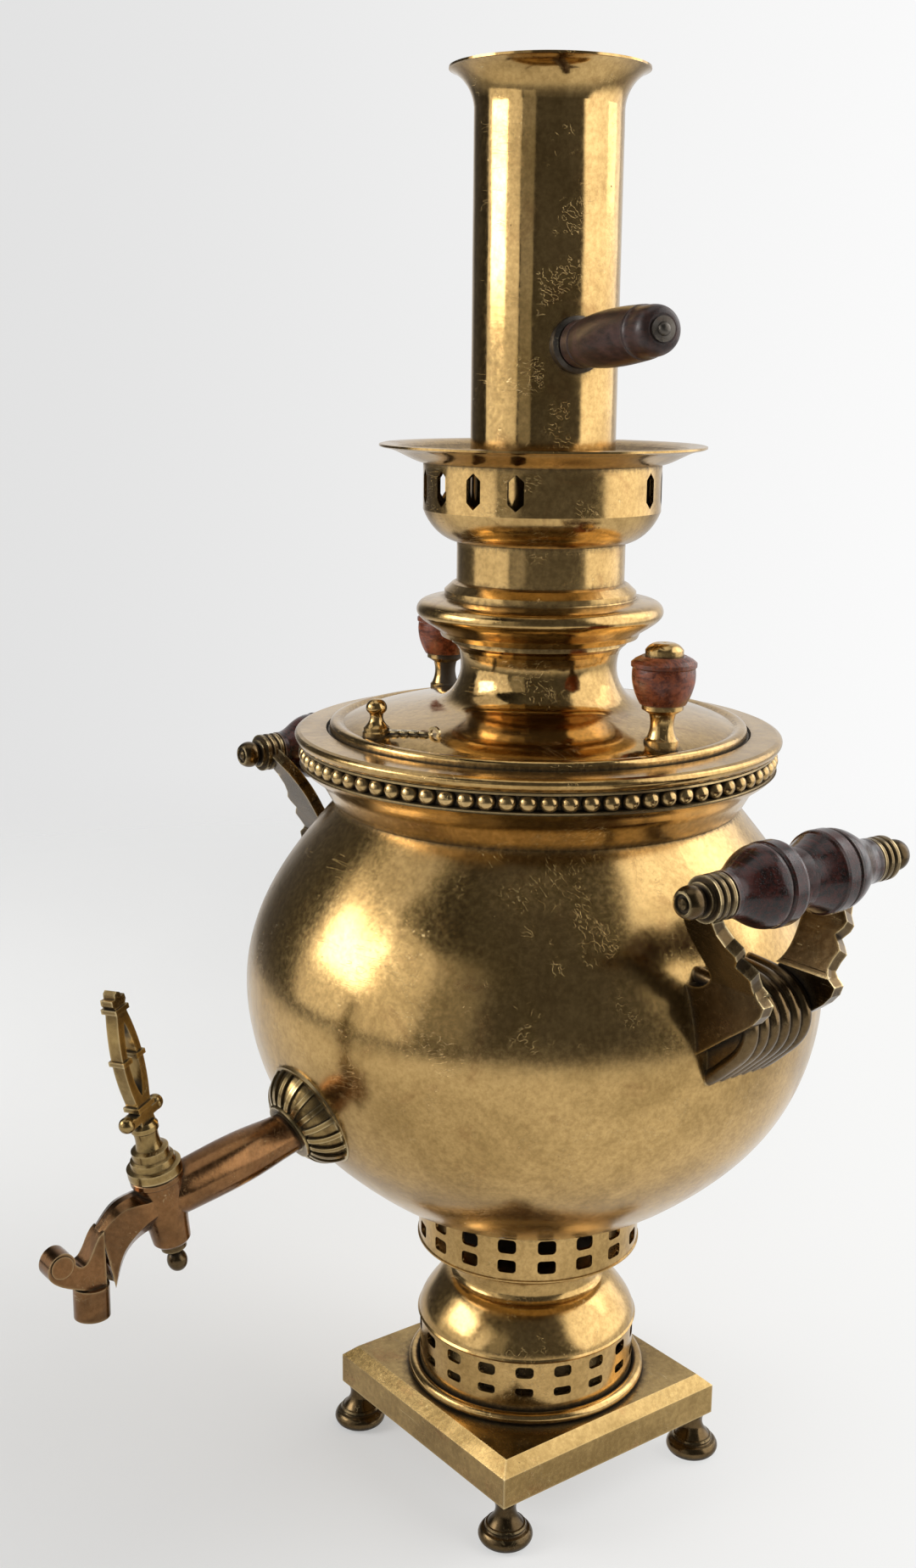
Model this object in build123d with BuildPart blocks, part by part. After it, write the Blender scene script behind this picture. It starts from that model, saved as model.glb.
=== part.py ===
"""A charcoal-fired brass samovar with a chimney pipe, built as its separate pieces.

Millimetres, +Z up. The origin is on the body's axis at the height of the table.
The tap points along -Y and the two side handles stand at +X and -X.
A bearing is counted anticlockwise, seen from above, from the tap's direction.
"""

from build123d import *
from math import cos, radians, sin
import os

os.makedirs("parts", exist_ok=True)

# ---------------------------------------------------------------- driving dimensions
sheet = 1.5                    # wall of the turned and pressed brass pieces
gap = 0.35                     # clearance between pieces that lift off or turn loosely
overcut = 2.0                  # how far a cutting tool runs past what it cuts

# base: a square hollow plate on four turned feet
plate_half = 57.8              # half the side of the base plate
plate_height = 17.7            # from its lower edge to its top face
bevel_run = 5.0                # how far the bevel round the top goes in
bevel_rise = 4.75
foot_height = 19.05
foot_radius = 11.1
foot_inset = 5.6               # foot centre inward from the plate's edges
foot_neck = 4.2
foot_top = 5.3                 # radius of the foot's upper end
stud_radius = 2.2
stud_room = 0.2                # clearance of the stud in its lug
gusset_size = 13.0             # corner lug that a foot is bolted to
gusset_thick = 2.5
nut_height = 3.2
nut_across = 7.0

# pierced pedestal
gallery_radius = 46.2          # lower pierced band, outside
gallery_height = 25.95
gallery_columns = 18
slot_width = 7.6
slot_upper = 5.0               # height of each window of the lower band
slot_lower = 3.8
slot_bar = 4.6                 # bar between the two windows of a column
slot_rise = 10.5               # lower window above the plate
base_ring_wire = 2.5           # half thickness of the ring round the pedestal's foot
dome_rise = 18.7               # from the band's top to the crease under the neck
neck_radius = 30.6             # narrowest place of the pedestal
neck_height = 17.4
upper_radius = 46.9            # upper pierced band, outside
upper_slot = 6.0
upper_slot_low = 5.6
upper_bar = 2.9
upper_rise = 4.4               # lower window above the band's foot

# body
body_radius = 117.9            # largest radius of the globe
body_height = 191.3            # from the upper band's foot to the crease under the collar
body_neck = 81.4               # radius of the crease
collar_height = 16.6
collar_radius = 95.8
bead_zone = 8.0                # height of the beaded band
bead_radius = 3.6
bead_count = 78
shoulder_radius = 97.6
shoulder_rise = 5.7
fire_tube_radius = 21.4        # outside of the inner chimney, at its top
fire_tube_swell = 5.2          # wider than that round the charcoal
fire_tube_wall = 1.4
tube_stands = 11.0             # fire tube above the joint of lid and crown

# lid
lid_radius = 83.5
lid_hub = 31.2                 # narrowest place of the lid's neck
lid_height = 37.1              # from the shoulder to the moulding's foot
mould_radius = 49.0            # widest place of the round moulding
mould_height = 15.5
lid_collar = 33.2              # plain collar above the moulding
collar_rise = 13.9
knob_circle = 72.0
knob_bearings = {"right": 90.0, "left": 264.5}
knob_radius = 12.2
vent_circle = 74.6
vent_bearing = -5.0
vent_height = 13.4

# crown that a teapot stands on
ledge_rise = 1.2               # pipe's seat above the joint of lid and crown
socket_rise = 7.6              # straight part of the crown's socket
cup_rise = 12.5
crown_radius = 46.6
crown_band = 17.9
crown_slots = 6                # slots in each of two groups
crown_pitch = 21.3             # degrees between the slots of a group
crown_slot_width = 6.3
crown_slot_height = 13.7
crown_turn = -15.05            # bearing of the first group's middle
dish_radius = 63.8
dish_rise = 7.4

# chimney pipe
tube_room = 5.55               # round the fire tube's top, inside the lid and the crown
pipe_room = 5.7                # between the fire tube and the pipe round it
pipe_wall = 1.2
pipe_length = 181.9
flare_out = 9.5                # how far the pipe's mouth flares
flare_height = 14.5
pipe_grip_rise = 81.3          # handle's foot above the pipe's lower end
pipe_grip_bearing = 75.0
pipe_grip_length = 66.0
pipe_grip_radius = 10.2
pipe_grip_tilt = 4.0

# side handles
handle_out = 23.6              # grip axis outside the globe's largest radius
handle_height = 290.0
grip_half = 36.5               # half the length of the turned wooden grip
grip_radius = 15.2
eye_width = 8.0
eye_radius = 8.2
eye_room = 0.8                 # between the grip's end and the bracket's eye
rod_radius = 2.6
arm_foot_half = 18.0           # half the distance between the arms from their bend down
arm_bend = 38.0                # the bend below the grip's axis; above it the arms lean apart
arm_thick = 5.0
reed_count = 6
reed_pitch = 5.4
reed_radius = 3.0

# tap
tap_run = 65.2                 # along the flow, from the globe to the barrel's axis
tap_height = 164.4             # crossing of the flow and the barrel's axis
tap_fall = 11.8                # degrees that the tap's pipe falls outward
tap_pipe = 9.8                 # thickest place of the tap's pipe
tap_pipe_root = 8.0            # its radius under the rosette
tap_bore = 4.0
spout_bore = 2.8               # the narrower way from the plug down to the nozzle
spout_half = 6.5               # half width of the arm at the barrel
spout_end_half = 3.4           # half width of the arm at the nose
nose_half = 4.0                # half width of the scrolled nose
barrel_top = 10.8              # above the crossing
barrel_depth = 18.2            # below the crossing
barrel_wide = 9.3
barrel_slim = 7.1
plug_wide = 6.3
plug_slim = 5.1
plug_fit = 0.05                # radial clearance of the ground plug
nozzle_radius = 6.6
nozzle_bore = 4.6
nozzle_out = 29.2              # nozzle axis outward from the crossing
nozzle_low = 37.5              # nozzle mouth below the crossing
nozzle_joint = 25.5            # where the nozzle meets the nose, below the crossing
key_turn = 24.0                # degrees that the key's plate stands off the flow axis
key_thick = 5.4
key_height = 85.0
rosette_radius = 22.0
rosette_ribs = 20
rosette_lean = 24.0
rosette_height = 11.5
rosette_reach = 8.6            # rosette's mouth out from the globe, along the flow

# ---------------------------------------------------------------- sizes worked out
foot_offset = plate_half - foot_inset
plate_low = foot_height
plate_top = plate_low + plate_height
gallery_top = plate_top + gallery_height
dome_top = gallery_top + dome_rise
upper_low = dome_top + neck_height
crease = upper_low + body_height
collar_top = crease + collar_height
bead_height = collar_top + bead_zone / 2
bead_circle = collar_radius - bead_radius + 0.4
shoulder_low = collar_top + bead_zone
shoulder_top = shoulder_low + shoulder_rise
recess = shoulder_top - 0.8            # floor of the lid's seat in the shoulder
mouth = lid_radius - 8.0               # filling mouth
lid_top = shoulder_top + lid_height
mould_top = lid_top + mould_height
crown_seat = mould_top + collar_rise
ledge = crown_seat + ledge_rise
crown_low = crown_seat + socket_rise + cup_rise
band_top = crown_low + crown_band
fire_tube_top = crown_seat + tube_stands
fire_radius = fire_tube_radius + fire_tube_swell
lid_bore = fire_tube_radius + tube_room
pipe_radius = fire_tube_radius + pipe_room + pipe_wall
pipe_bore = pipe_radius + gap
pipe_top = ledge + pipe_length
handle_reach = body_radius + handle_out
eye_middle = grip_half + eye_room + eye_width / 2
tap_root = body_radius * 0.937
fall = radians(tap_fall)
tap_reach = tap_root + tap_run * cos(fall)


def polar(angle, reach):
    """X and Y of a point at a bearing from the tap and a distance from the axis."""
    return reach * sin(radians(angle)), -reach * cos(radians(angle))


def radial_plane(angle, height, reach=0.0):
    """A plane that faces outward at a bearing, its X along the tangent and Y up."""
    across, along = polar(angle, 1)
    return Plane(
        origin=(reach * across, reach * along, height),
        x_dir=(-along, across, 0),
        z_dir=(across, along, 0),
    )


def inset(points, wall):
    """Points of a turned outline moved inward by a wall, along its normals."""
    moved = []
    last = len(points) - 1
    for place, (radius, height) in enumerate(points):
        before = points[max(place - 1, 0)]
        after = points[min(place + 1, last)]
        run = after[0] - before[0]
        rise = after[1] - before[1]
        length = (run * run + rise * rise) ** 0.5
        moved.append((radius - wall * rise / length, height + wall * run / length))
    return moved


def save(piece, name):
    """Label a finished piece and write it."""
    piece.label = name
    export_step(piece, f"parts/{name}.step")


# ================================================================ base
inner_half = plate_half - sheet
side_height = plate_height - bevel_rise
# base_plate: pressed square tray, open below, with four corner lugs for the feet
with BuildPart() as base_plate:
    with BuildSketch(Plane.XY.offset(plate_low)):
        Rectangle(2 * plate_half, 2 * plate_half)
    extrude(amount=side_height)
    with BuildSketch(Plane.XY.offset(plate_low + side_height)):
        Rectangle(2 * plate_half, 2 * plate_half)
    with BuildSketch(Plane.XY.offset(plate_top)):
        Rectangle(2 * (plate_half - bevel_run), 2 * (plate_half - bevel_run))
    loft()
    with BuildSketch(Plane.XY.offset(plate_low)):
        Rectangle(2 * inner_half, 2 * inner_half)
    extrude(amount=side_height - sheet, mode=Mode.SUBTRACT)
    with BuildSketch(Plane.XY.offset(plate_low + side_height - sheet)):
        Rectangle(2 * inner_half, 2 * inner_half)
    with BuildSketch(Plane.XY.offset(plate_top - sheet)):
        Rectangle(2 * (inner_half - bevel_run), 2 * (inner_half - bevel_run))
    loft(mode=Mode.SUBTRACT)
    with BuildSketch(Plane.XY.offset(plate_low)):
        with GridLocations(2 * foot_offset, 2 * foot_offset, 2, 2):
            Rectangle(gusset_size, gusset_size)
        Rectangle(2 * inner_half, 2 * inner_half, mode=Mode.INTERSECT)
        with GridLocations(2 * foot_offset, 2 * foot_offset, 2, 2):
            Circle(stud_radius + stud_room, mode=Mode.SUBTRACT)
    extrude(amount=gusset_thick)
save(base_plate.part, "base_plate")

# feet: turned bun feet, each with a stud that passes its corner lug
stud_top = plate_low + gusset_thick + nut_height + 1.2
foot_places = {
    "foot_front_right": (foot_offset, -foot_offset),
    "foot_front_left": (-foot_offset, -foot_offset),
    "foot_back_right": (foot_offset, foot_offset),
    "foot_back_left": (-foot_offset, foot_offset),
}
for name, (across, along) in foot_places.items():
    stand = Plane(origin=(across, along, 0), x_dir=(1, 0, 0), z_dir=(0, -1, 0))
    with BuildPart() as foot:
        with BuildSketch(stand):
            with BuildLine():
                Polyline(
                    (foot_top, foot_height),
                    (stud_radius, foot_height),
                    (stud_radius, stud_top),
                    (0, stud_top),
                    (0, 0),
                    (foot_radius * 0.76, 0),
                )
                Spline(
                    (foot_radius * 0.76, 0),
                    (foot_radius * 0.93, foot_height * 0.07),
                    (foot_radius, foot_height * 0.17),
                    (foot_radius * 0.96, foot_height * 0.26),
                    (foot_radius * 0.88, foot_height * 0.32),
                )
                Polyline(
                    (foot_radius * 0.88, foot_height * 0.32),
                    (foot_radius * 0.78, foot_height * 0.34),
                    (foot_radius * 0.74, foot_height * 0.36),
                    (foot_radius * 0.76, foot_height * 0.4),
                    (foot_radius * 0.72, foot_height * 0.44),
                    (foot_radius * 0.66, foot_height * 0.45),
                )
                Spline(
                    (foot_radius * 0.66, foot_height * 0.45),
                    (foot_radius * 0.54, foot_height * 0.54),
                    (foot_neck + 0.5, foot_height * 0.65),
                    (foot_neck, foot_height * 0.78),
                    (foot_neck + 0.3, foot_height * 0.9),
                    (foot_top, foot_height),
                )
            make_face()
        revolve(axis=Axis((across, along, 0), (0, 0, 1)))
    save(foot.part, name)

# foot_nuts: the four nuts inside the tray
with BuildPart() as foot_nuts:
    with BuildSketch(Plane.XY.offset(plate_low + gusset_thick)):
        with GridLocations(2 * foot_offset, 2 * foot_offset, 2, 2):
            RegularPolygon(nut_across / 2, 6, major_radius=False)
            Circle(stud_radius, mode=Mode.SUBTRACT)
    extrude(amount=nut_height)
save(foot_nuts.part, "foot_nuts")

# base_ring: half-round ring laid on the plate round the pedestal's foot
ring_middle = gallery_radius + base_ring_wire
with BuildPart() as base_ring:
    with BuildSketch(Plane.XZ):
        with Locations((ring_middle, plate_top + base_ring_wire * 0.9)):
            Circle(base_ring_wire)
        with Locations((ring_middle, plate_top - base_ring_wire)):
            Rectangle(2 * base_ring_wire, 2 * base_ring_wire, mode=Mode.SUBTRACT)
    revolve(axis=Axis.Z)
save(base_ring.part, "base_ring")

# lower_gallery: pierced band between the plate and the dome
with BuildPart() as lower_gallery:
    with BuildSketch(Plane.XY.offset(plate_top)):
        Circle(gallery_radius)
        Circle(gallery_radius - sheet, mode=Mode.SUBTRACT)
    extrude(amount=gallery_height)
    for column in range(gallery_columns):
        turn = (column + 0.5) * 360 / gallery_columns
        with BuildSketch(radial_plane(turn, plate_top + slot_rise)):
            with Locations((0, slot_lower / 2)):
                RectangleRounded(slot_width, slot_lower, 1.3)
            with Locations((0, slot_lower + slot_bar + slot_upper / 2)):
                RectangleRounded(slot_width, slot_upper, 1.8)
        extrude(amount=gallery_radius + overcut, mode=Mode.SUBTRACT)
save(lower_gallery.part, "lower_gallery")

# pedestal_neck: dome, narrow neck and floor of the upper band, in one turning
dome_span = gallery_radius - neck_radius
dome_line = [
    (neck_radius + dome_span * 1.026, gallery_top + 1.6),
    (neck_radius + dome_span * 0.974, gallery_top + dome_rise * 0.23),
    (neck_radius + dome_span * 0.795, gallery_top + dome_rise * 0.49),
    (neck_radius + dome_span * 0.538, gallery_top + dome_rise * 0.765),
    (neck_radius + dome_span * 0.314, gallery_top + dome_rise * 0.94),
    (neck_radius + dome_span * 0.141, dome_top),
]
neck_flare = upper_radius - neck_radius
neck_line = [
    (neck_radius + dome_span * 0.141, dome_top),
    (neck_radius + 0.5, dome_top + neck_height * 0.1),
    (neck_radius, dome_top + neck_height * 0.3),
    (neck_radius + 0.8, dome_top + neck_height * 0.55),
    (neck_radius + neck_flare * 0.24, dome_top + neck_height * 0.78),
    (neck_radius + neck_flare * 0.55, upper_low - 0.9),
    (upper_radius - 2.2, upper_low),
]
dome_under = inset(dome_line, sheet)
neck_under = inset(neck_line, sheet)
air_way = fire_radius + 4.5
with BuildPart() as pedestal_neck:
    with BuildSketch(Plane.XZ):
        with BuildLine():
            Spline(*dome_line)
            Spline(*neck_line)
            Polyline(
                neck_line[-1],
                (upper_radius - 0.2, upper_low),
                (upper_radius + 0.5, upper_low + 0.6),
                (upper_radius + 0.5, upper_low + 1.2),
                (upper_radius, upper_low + sheet),
                (air_way, upper_low + sheet),
                (air_way, neck_under[4][1]),
                neck_under[3],
            )
            Spline(neck_under[3], neck_under[2], neck_under[1])
            Polyline(
                neck_under[1],
                (neck_radius + 0.2, dome_top - 1.6),
                dome_under[4],
            )
            Spline(*dome_under[4:0:-1], (gallery_radius - sheet, gallery_top + 1.6))
            Polyline(
                (gallery_radius - sheet, gallery_top + 1.6),
                (gallery_radius - sheet, gallery_top),
                (gallery_radius + 0.6, gallery_top),
                (gallery_radius + 1.0, gallery_top + 0.8),
                dome_line[0],
            )
        make_face()
    revolve(axis=Axis.Z)
save(pedestal_neck.part, "pedestal_neck")

# ================================================================ body
# outline of the globe from the fire tube up to the crease
globe = [
    (fire_radius, upper_low + body_height * 0.060),
    (upper_radius * 0.921, upper_low + body_height * 0.0972),
    (body_radius * 0.531, upper_low + body_height * 0.1448),
    (body_radius * 0.6514, upper_low + body_height * 0.1986),
    (body_radius * 0.8796, upper_low + body_height * 0.3476),
    (body_radius * 0.9915, upper_low + body_height * 0.5264),
    (body_radius * 0.9975, upper_low + body_height * 0.6649),
    (body_radius * 0.9033, upper_low + body_height * 0.8244),
    (body_neck + (body_radius - body_neck) * 0.367, upper_low + body_height * 0.9137),
    (body_neck, crease),
]
globe_low = globe[0][1]

# body_solid: the full volume inside the globe's outer face, which seats are cut by
with BuildPart() as body_solid:
    with BuildSketch(Plane.XZ):
        with BuildLine():
            Spline(*globe)
            Polyline(globe[-1], (0, crease), (0, globe_low), globe[0])
        make_face()
    revolve(axis=Axis.Z)

# upper_gallery: pierced band that carries the body, trimmed to the globe
with BuildPart() as upper_gallery:
    with BuildSketch(Plane.XY.offset(upper_low + sheet)):
        Circle(upper_radius)
        Circle(upper_radius - sheet, mode=Mode.SUBTRACT)
    extrude(amount=body_height * 0.12)
    add(body_solid.part, mode=Mode.SUBTRACT)
    for column in range(gallery_columns):
        turn = column * 360 / gallery_columns
        with BuildSketch(radial_plane(turn, upper_low + upper_rise)):
            with Locations((0, upper_slot_low / 2)):
                RectangleRounded(slot_width, upper_slot_low, 1.5)
            with Locations((0, upper_slot_low + upper_bar + upper_slot / 2)):
                RectangleRounded(slot_width, upper_slot, 1.8)
        extrude(amount=upper_radius + overcut, mode=Mode.SUBTRACT)
save(upper_gallery.part, "upper_gallery")

# body_shell: the globe, with the hole that feeds the tap
inner_globe = inset(globe, sheet)
inner_globe[0] = (fire_radius, globe_low + sheet)
inner_globe[-1] = (body_neck - sheet, crease)
flow_back = Plane(
    origin=(0, -tap_reach, tap_height),
    x_dir=(1, 0, 0),
    z_dir=(0, cos(fall), sin(fall)),
)
with BuildPart() as body_shell:
    with BuildSketch(Plane.XZ):
        with BuildLine():
            Spline(*globe)
            Line(globe[-1], inner_globe[-1])
            Spline(*inner_globe[::-1])
            Line(inner_globe[0], globe[0])
        make_face()
    revolve(axis=Axis.Z)
    with BuildSketch(flow_back):
        Circle(tap_bore)
    extrude(amount=tap_run + body_radius * 0.3, mode=Mode.SUBTRACT)
    with BuildSketch(Plane.XY.offset(globe_low - overcut)):
        Circle(fire_radius)
    extrude(amount=4 * overcut, mode=Mode.SUBTRACT)
save(body_shell.part, "body_shell")

# fire_tube: the inner chimney, open at both ends and narrower above the water
tube_low = globe_low - overcut
tube_line = [
    (fire_radius, tube_low),
    (fire_radius, crease),
    (fire_tube_radius, lid_top - 6.0),
    (fire_tube_radius, fire_tube_top),
]
tube_inside = [(radius - fire_tube_wall, height) for radius, height in reversed(tube_line)]
with BuildPart() as fire_tube:
    with BuildSketch(Plane.XZ):
        with BuildLine():
            Polyline(*tube_line, *tube_inside, close=True)
        make_face()
    revolve(axis=Axis.Z)
save(fire_tube.part, "fire_tube")

# fire_grate: slotted iron disc that the charcoal lies on, on a ring in the tube's foot
grate_ring = fire_radius - fire_tube_wall
grate_radius = grate_ring - 0.3
grate_pitch = 6.4
grate_slot = 3.2
with BuildPart() as fire_grate:
    with BuildSketch(Plane.XY.offset(tube_low + 1.0)):
        Circle(grate_radius)
        for row in range(-3, 4):
            half_chord = (grate_radius**2 - (row * grate_pitch) ** 2) ** 0.5
            with Locations((0, row * grate_pitch)):
                SlotOverall(2 * half_chord - 2 * grate_slot, grate_slot, mode=Mode.SUBTRACT)
    extrude(amount=3.0)
    with BuildSketch(Plane.XY.offset(tube_low)):
        Circle(grate_ring)
        Circle(grate_ring - 2.0, mode=Mode.SUBTRACT)
    extrude(amount=1.0)
save(fire_grate.part, "fire_grate")

# body_collar: the concave band between the globe and the bead ring
collar_line = [
    (body_neck, crease),
    (body_neck + 2.8, crease + collar_height * 0.24),
    (body_neck + 6.2, crease + collar_height * 0.58),
    (collar_radius - 1.6, crease + collar_height * 0.9),
    (collar_radius, collar_top),
]
inner_collar = inset(collar_line, sheet)
inner_collar[0] = (body_neck - sheet, crease)
inner_collar[-1] = (collar_radius - sheet - 0.6, collar_top)
with BuildPart() as body_collar:
    with BuildSketch(Plane.XZ):
        with BuildLine():
            Spline(*collar_line)
            Line(collar_line[-1], inner_collar[-1])
            Spline(*inner_collar[::-1])
            Line(inner_collar[0], collar_line[0])
        make_face()
    revolve(axis=Axis.Z)
save(body_collar.part, "body_collar")

# bead_ring: round beads held between two thin fillets
bead_back = bead_circle - bead_radius - 0.4
fillet_out = collar_radius - 0.6
with BuildPart() as bead_ring:
    with BuildSketch(Plane.XZ):
        with BuildLine():
            Polyline(
                (bead_back, collar_top),
                (fillet_out, collar_top),
                (fillet_out, collar_top + 0.8),
                (bead_circle, collar_top + 1.4),
                (bead_circle, shoulder_low - 1.4),
                (fillet_out, shoulder_low - 0.8),
                (fillet_out, shoulder_low),
                (bead_back, shoulder_low),
                close=True,
            )
        make_face()
    revolve(axis=Axis.Z)
    with Locations((0, 0, bead_height)):
        with PolarLocations(bead_circle, bead_count):
            Sphere(bead_radius)
save(bead_ring.part, "bead_ring")

# shoulder_ring: the flat disc that closes the body down to the filling mouth
with BuildPart() as shoulder_ring:
    with BuildSketch(Plane.XZ):
        with BuildLine():
            Line((mouth, shoulder_low), (shoulder_radius - 3.0, shoulder_low))
            Spline(
                (shoulder_radius - 3.0, shoulder_low),
                (shoulder_radius - 0.7, shoulder_low + shoulder_rise * 0.3),
                (shoulder_radius, shoulder_low + shoulder_rise * 0.6),
                (shoulder_radius - 0.9, shoulder_top - 0.8),
            )
            Polyline(
                (shoulder_radius - 0.9, shoulder_top - 0.8),
                (shoulder_radius - 2.2, shoulder_top - 0.3),
                (lid_radius + 1.6, shoulder_top),
                (lid_radius + 0.8, recess),
                (mouth, recess),
                (mouth, shoulder_low),
            )
        make_face()
    revolve(axis=Axis.Z)
save(shoulder_ring.part, "shoulder_ring")

# ================================================================ lid
lid_span = lid_radius - lid_hub
lid_line = [
    (lid_radius - 5.3, shoulder_top + 2.5),
    (lid_hub + lid_span * 0.818, shoulder_top + 4.1),
    (lid_hub + lid_span * 0.602, shoulder_top + lid_height * 0.191),
    (lid_hub + lid_span * 0.436, shoulder_top + lid_height * 0.232),
    (lid_hub + lid_span * 0.264, shoulder_top + lid_height * 0.272),
    (lid_hub + lid_span * 0.130, shoulder_top + lid_height * 0.326),
    (lid_hub + lid_span * 0.054, shoulder_top + lid_height * 0.434),
    (lid_hub + 0.4, shoulder_top + lid_height * 0.582),
    (lid_hub, shoulder_top + lid_height * 0.704),
    (lid_hub + 1.0, shoulder_top + lid_height * 0.852),
]
lid_under = inset(lid_line, sheet)
rim_line = [
    (lid_radius, shoulder_top + 1.6),
    (lid_radius - 0.7, shoulder_top + 2.9),
    (lid_radius - 2.2, shoulder_top + 3.4),
    (lid_radius - 4.4, shoulder_top + 2.9),
    lid_line[0],
]
spigot = mouth - gap
spigot_height = 4.0

# lid_solid: the full volume under the lid's outer face, which the fittings are cut by
with BuildPart() as lid_solid:
    with BuildSketch(Plane.XZ):
        with BuildLine():
            Spline(*lid_line)
            Polyline(
                lid_line[-1],
                (0, lid_line[-1][1]),
                (0, recess),
                (lid_radius, recess),
                rim_line[0],
            )
            Spline(*rim_line)
        make_face()
    revolve(axis=Axis.Z)

# lid: the dished cover with its raised rim and its neck
with BuildPart() as lid:
    with BuildSketch(Plane.XZ):
        with BuildLine():
            Spline(*lid_line)
            Polyline(
                lid_line[-1],
                (lid_hub + 2.4, lid_top - 3.6),
                (lid_hub + 3.8, lid_top - 2.4),
                (lid_hub + 3.8, lid_top - 0.5),
                (lid_hub + 3.2, lid_top),
                (lid_hub - 0.6, lid_top),
                lid_under[-1],
            )
            Spline(*lid_under[::-1])
            Polyline(
                lid_under[0],
                (spigot - sheet, recess),
                (lid_radius, recess),
                rim_line[0],
            )
            Spline(*rim_line)
        make_face()
    revolve(axis=Axis.Z)
save(lid.part, "lid")

# lid_spigot: ring under the lid that drops into the filling mouth
with BuildPart() as lid_spigot:
    with BuildSketch(Plane.XY.offset(recess - spigot_height)):
        Circle(spigot)
        Circle(spigot - sheet, mode=Mode.SUBTRACT)
    extrude(amount=spigot_height)
save(lid_spigot.part, "lid_spigot")

# lid_moulding: the bold round moulding on the lid's neck, and the collar above it
mould_span = mould_radius - lid_collar
mould_line = [
    (lid_collar + mould_span * 0.43, lid_top + mould_height * 0.12),
    (lid_collar + mould_span * 0.81, lid_top + mould_height * 0.387),
    (mould_radius, lid_top + mould_height * 0.658),
    (lid_collar + mould_span * 0.95, lid_top + mould_height * 0.806),
    (lid_collar + mould_span * 0.68, lid_top + mould_height * 0.935),
    (lid_collar + mould_span * 0.32, mould_top),
]
mould_inner = inset(mould_line, sheet)
with BuildPart() as lid_moulding:
    with BuildSketch(Plane.XZ):
        with BuildLine():
            Polyline(
                (lid_bore, lid_top),
                (lid_collar + mould_span * 0.38, lid_top),
                mould_line[0],
            )
            Spline(*mould_line)
            Polyline(
                mould_line[-1],
                (lid_collar + 4.8, mould_top + 0.4),
                (lid_collar + 4.8, mould_top + 2.6),
                (lid_collar + 1.9, mould_top + 5.3),
                (lid_collar, mould_top + 6.2),
                (lid_collar, crown_seat),
                (lid_collar - sheet, crown_seat),
                (lid_collar - sheet, mould_top + 5.0),
                (lid_collar + 3.2, mould_top + 1.6),
                mould_inner[5],
            )
            Spline(*mould_inner[5:0:-1])
            Polyline(
                mould_inner[1],
                (lid_collar + mould_span * 0.3, lid_top + sheet),
                (lid_bore, lid_top + sheet),
                (lid_bore, lid_top),
            )
        make_face()
    revolve(axis=Axis.Z)
save(lid_moulding.part, "lid_moulding")

# knobs: turned stem, wooden bowl and brass button
knob_foot = shoulder_top + 4.4
stem_height = 15.7
bowl_top = 33.6
sink = 3.0                     # how deep a fitting is laid into the lid before it is cut
for name, turn in knob_bearings.items():
    across, along = polar(turn, knob_circle)
    stand = Plane(origin=(across, along, knob_foot), x_dir=(1, 0, 0), z_dir=(0, -1, 0))
    spin = Axis((across, along, knob_foot), (0, 0, 1))
    with BuildPart() as knob_stem:
        with BuildSketch(stand):
            with BuildLine():
                Polyline((0, -sink), (6.4, -sink), (6.4, 2.2), (5.6, 3.0))
                Spline((5.6, 3.0), (4.4, 8.4), (5.0, 12.0))
                Polyline((5.0, 12.0), (7.8, 13.8), (7.8, stem_height), (0, stem_height))
                Line((0, stem_height), (0, -sink))
            make_face()
        revolve(axis=spin)
        add(lid_solid.part, mode=Mode.SUBTRACT)
    save(knob_stem.part, f"knob_stem_{name}")
    with BuildPart() as knob_bowl:
        with BuildSketch(stand):
            with BuildLine():
                Line((0, stem_height), (8.6, stem_height))
                Spline(
                    (8.6, stem_height),
                    (knob_radius - 1.6, 20.0),
                    (knob_radius - 0.4, 26.0),
                    (knob_radius - 0.6, 29.2),
                )
                Polyline(
                    (knob_radius - 0.6, 29.2),
                    (knob_radius, 29.8),
                    (knob_radius, 31.2),
                    (knob_radius - 1.4, 32.4),
                    (8.5, bowl_top),
                    (0, bowl_top),
                    (0, stem_height),
                )
            make_face()
        revolve(axis=spin)
    save(knob_bowl.part, f"knob_bowl_{name}")
    with BuildPart() as knob_button:
        with BuildSketch(stand):
            with BuildLine():
                Polyline((0, bowl_top), (7.1, bowl_top), (7.1, bowl_top + 2.2))
                Spline((7.1, bowl_top + 2.2), (5.4, bowl_top + 4.0), (0, bowl_top + 4.6))
                Line((0, bowl_top + 4.6), (0, bowl_top))
            make_face()
        revolve(axis=spin)
    save(knob_button.part, f"knob_button_{name}")

# vent_seat and vent_cap: the steam vent over the tap and its loose stopper
vent_across, vent_along = polar(vent_bearing, vent_circle)
vent_spot = (vent_across, vent_along, shoulder_top + 3.7)
vent_plane = Plane(origin=vent_spot, x_dir=(1, 0, 0), z_dir=(0, -1, 0))
vent_spin = Axis(vent_spot, (0, 0, 1))
vent_hole = 1.9
vent_pin = vent_hole - gap
seat_height = 2.0
seat_radius = 5.4
with BuildPart() as vent_seat:
    with BuildSketch(vent_plane):
        with BuildLine():
            Polyline(
                (vent_hole, -sink),
                (seat_radius, -sink),
                (seat_radius, seat_height - 0.6),
                (seat_radius - 0.6, seat_height),
                (vent_hole, seat_height),
                close=True,
            )
        make_face()
    revolve(axis=vent_spin)
    add(lid_solid.part, mode=Mode.SUBTRACT)
save(vent_seat.part, "vent_seat")

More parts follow.
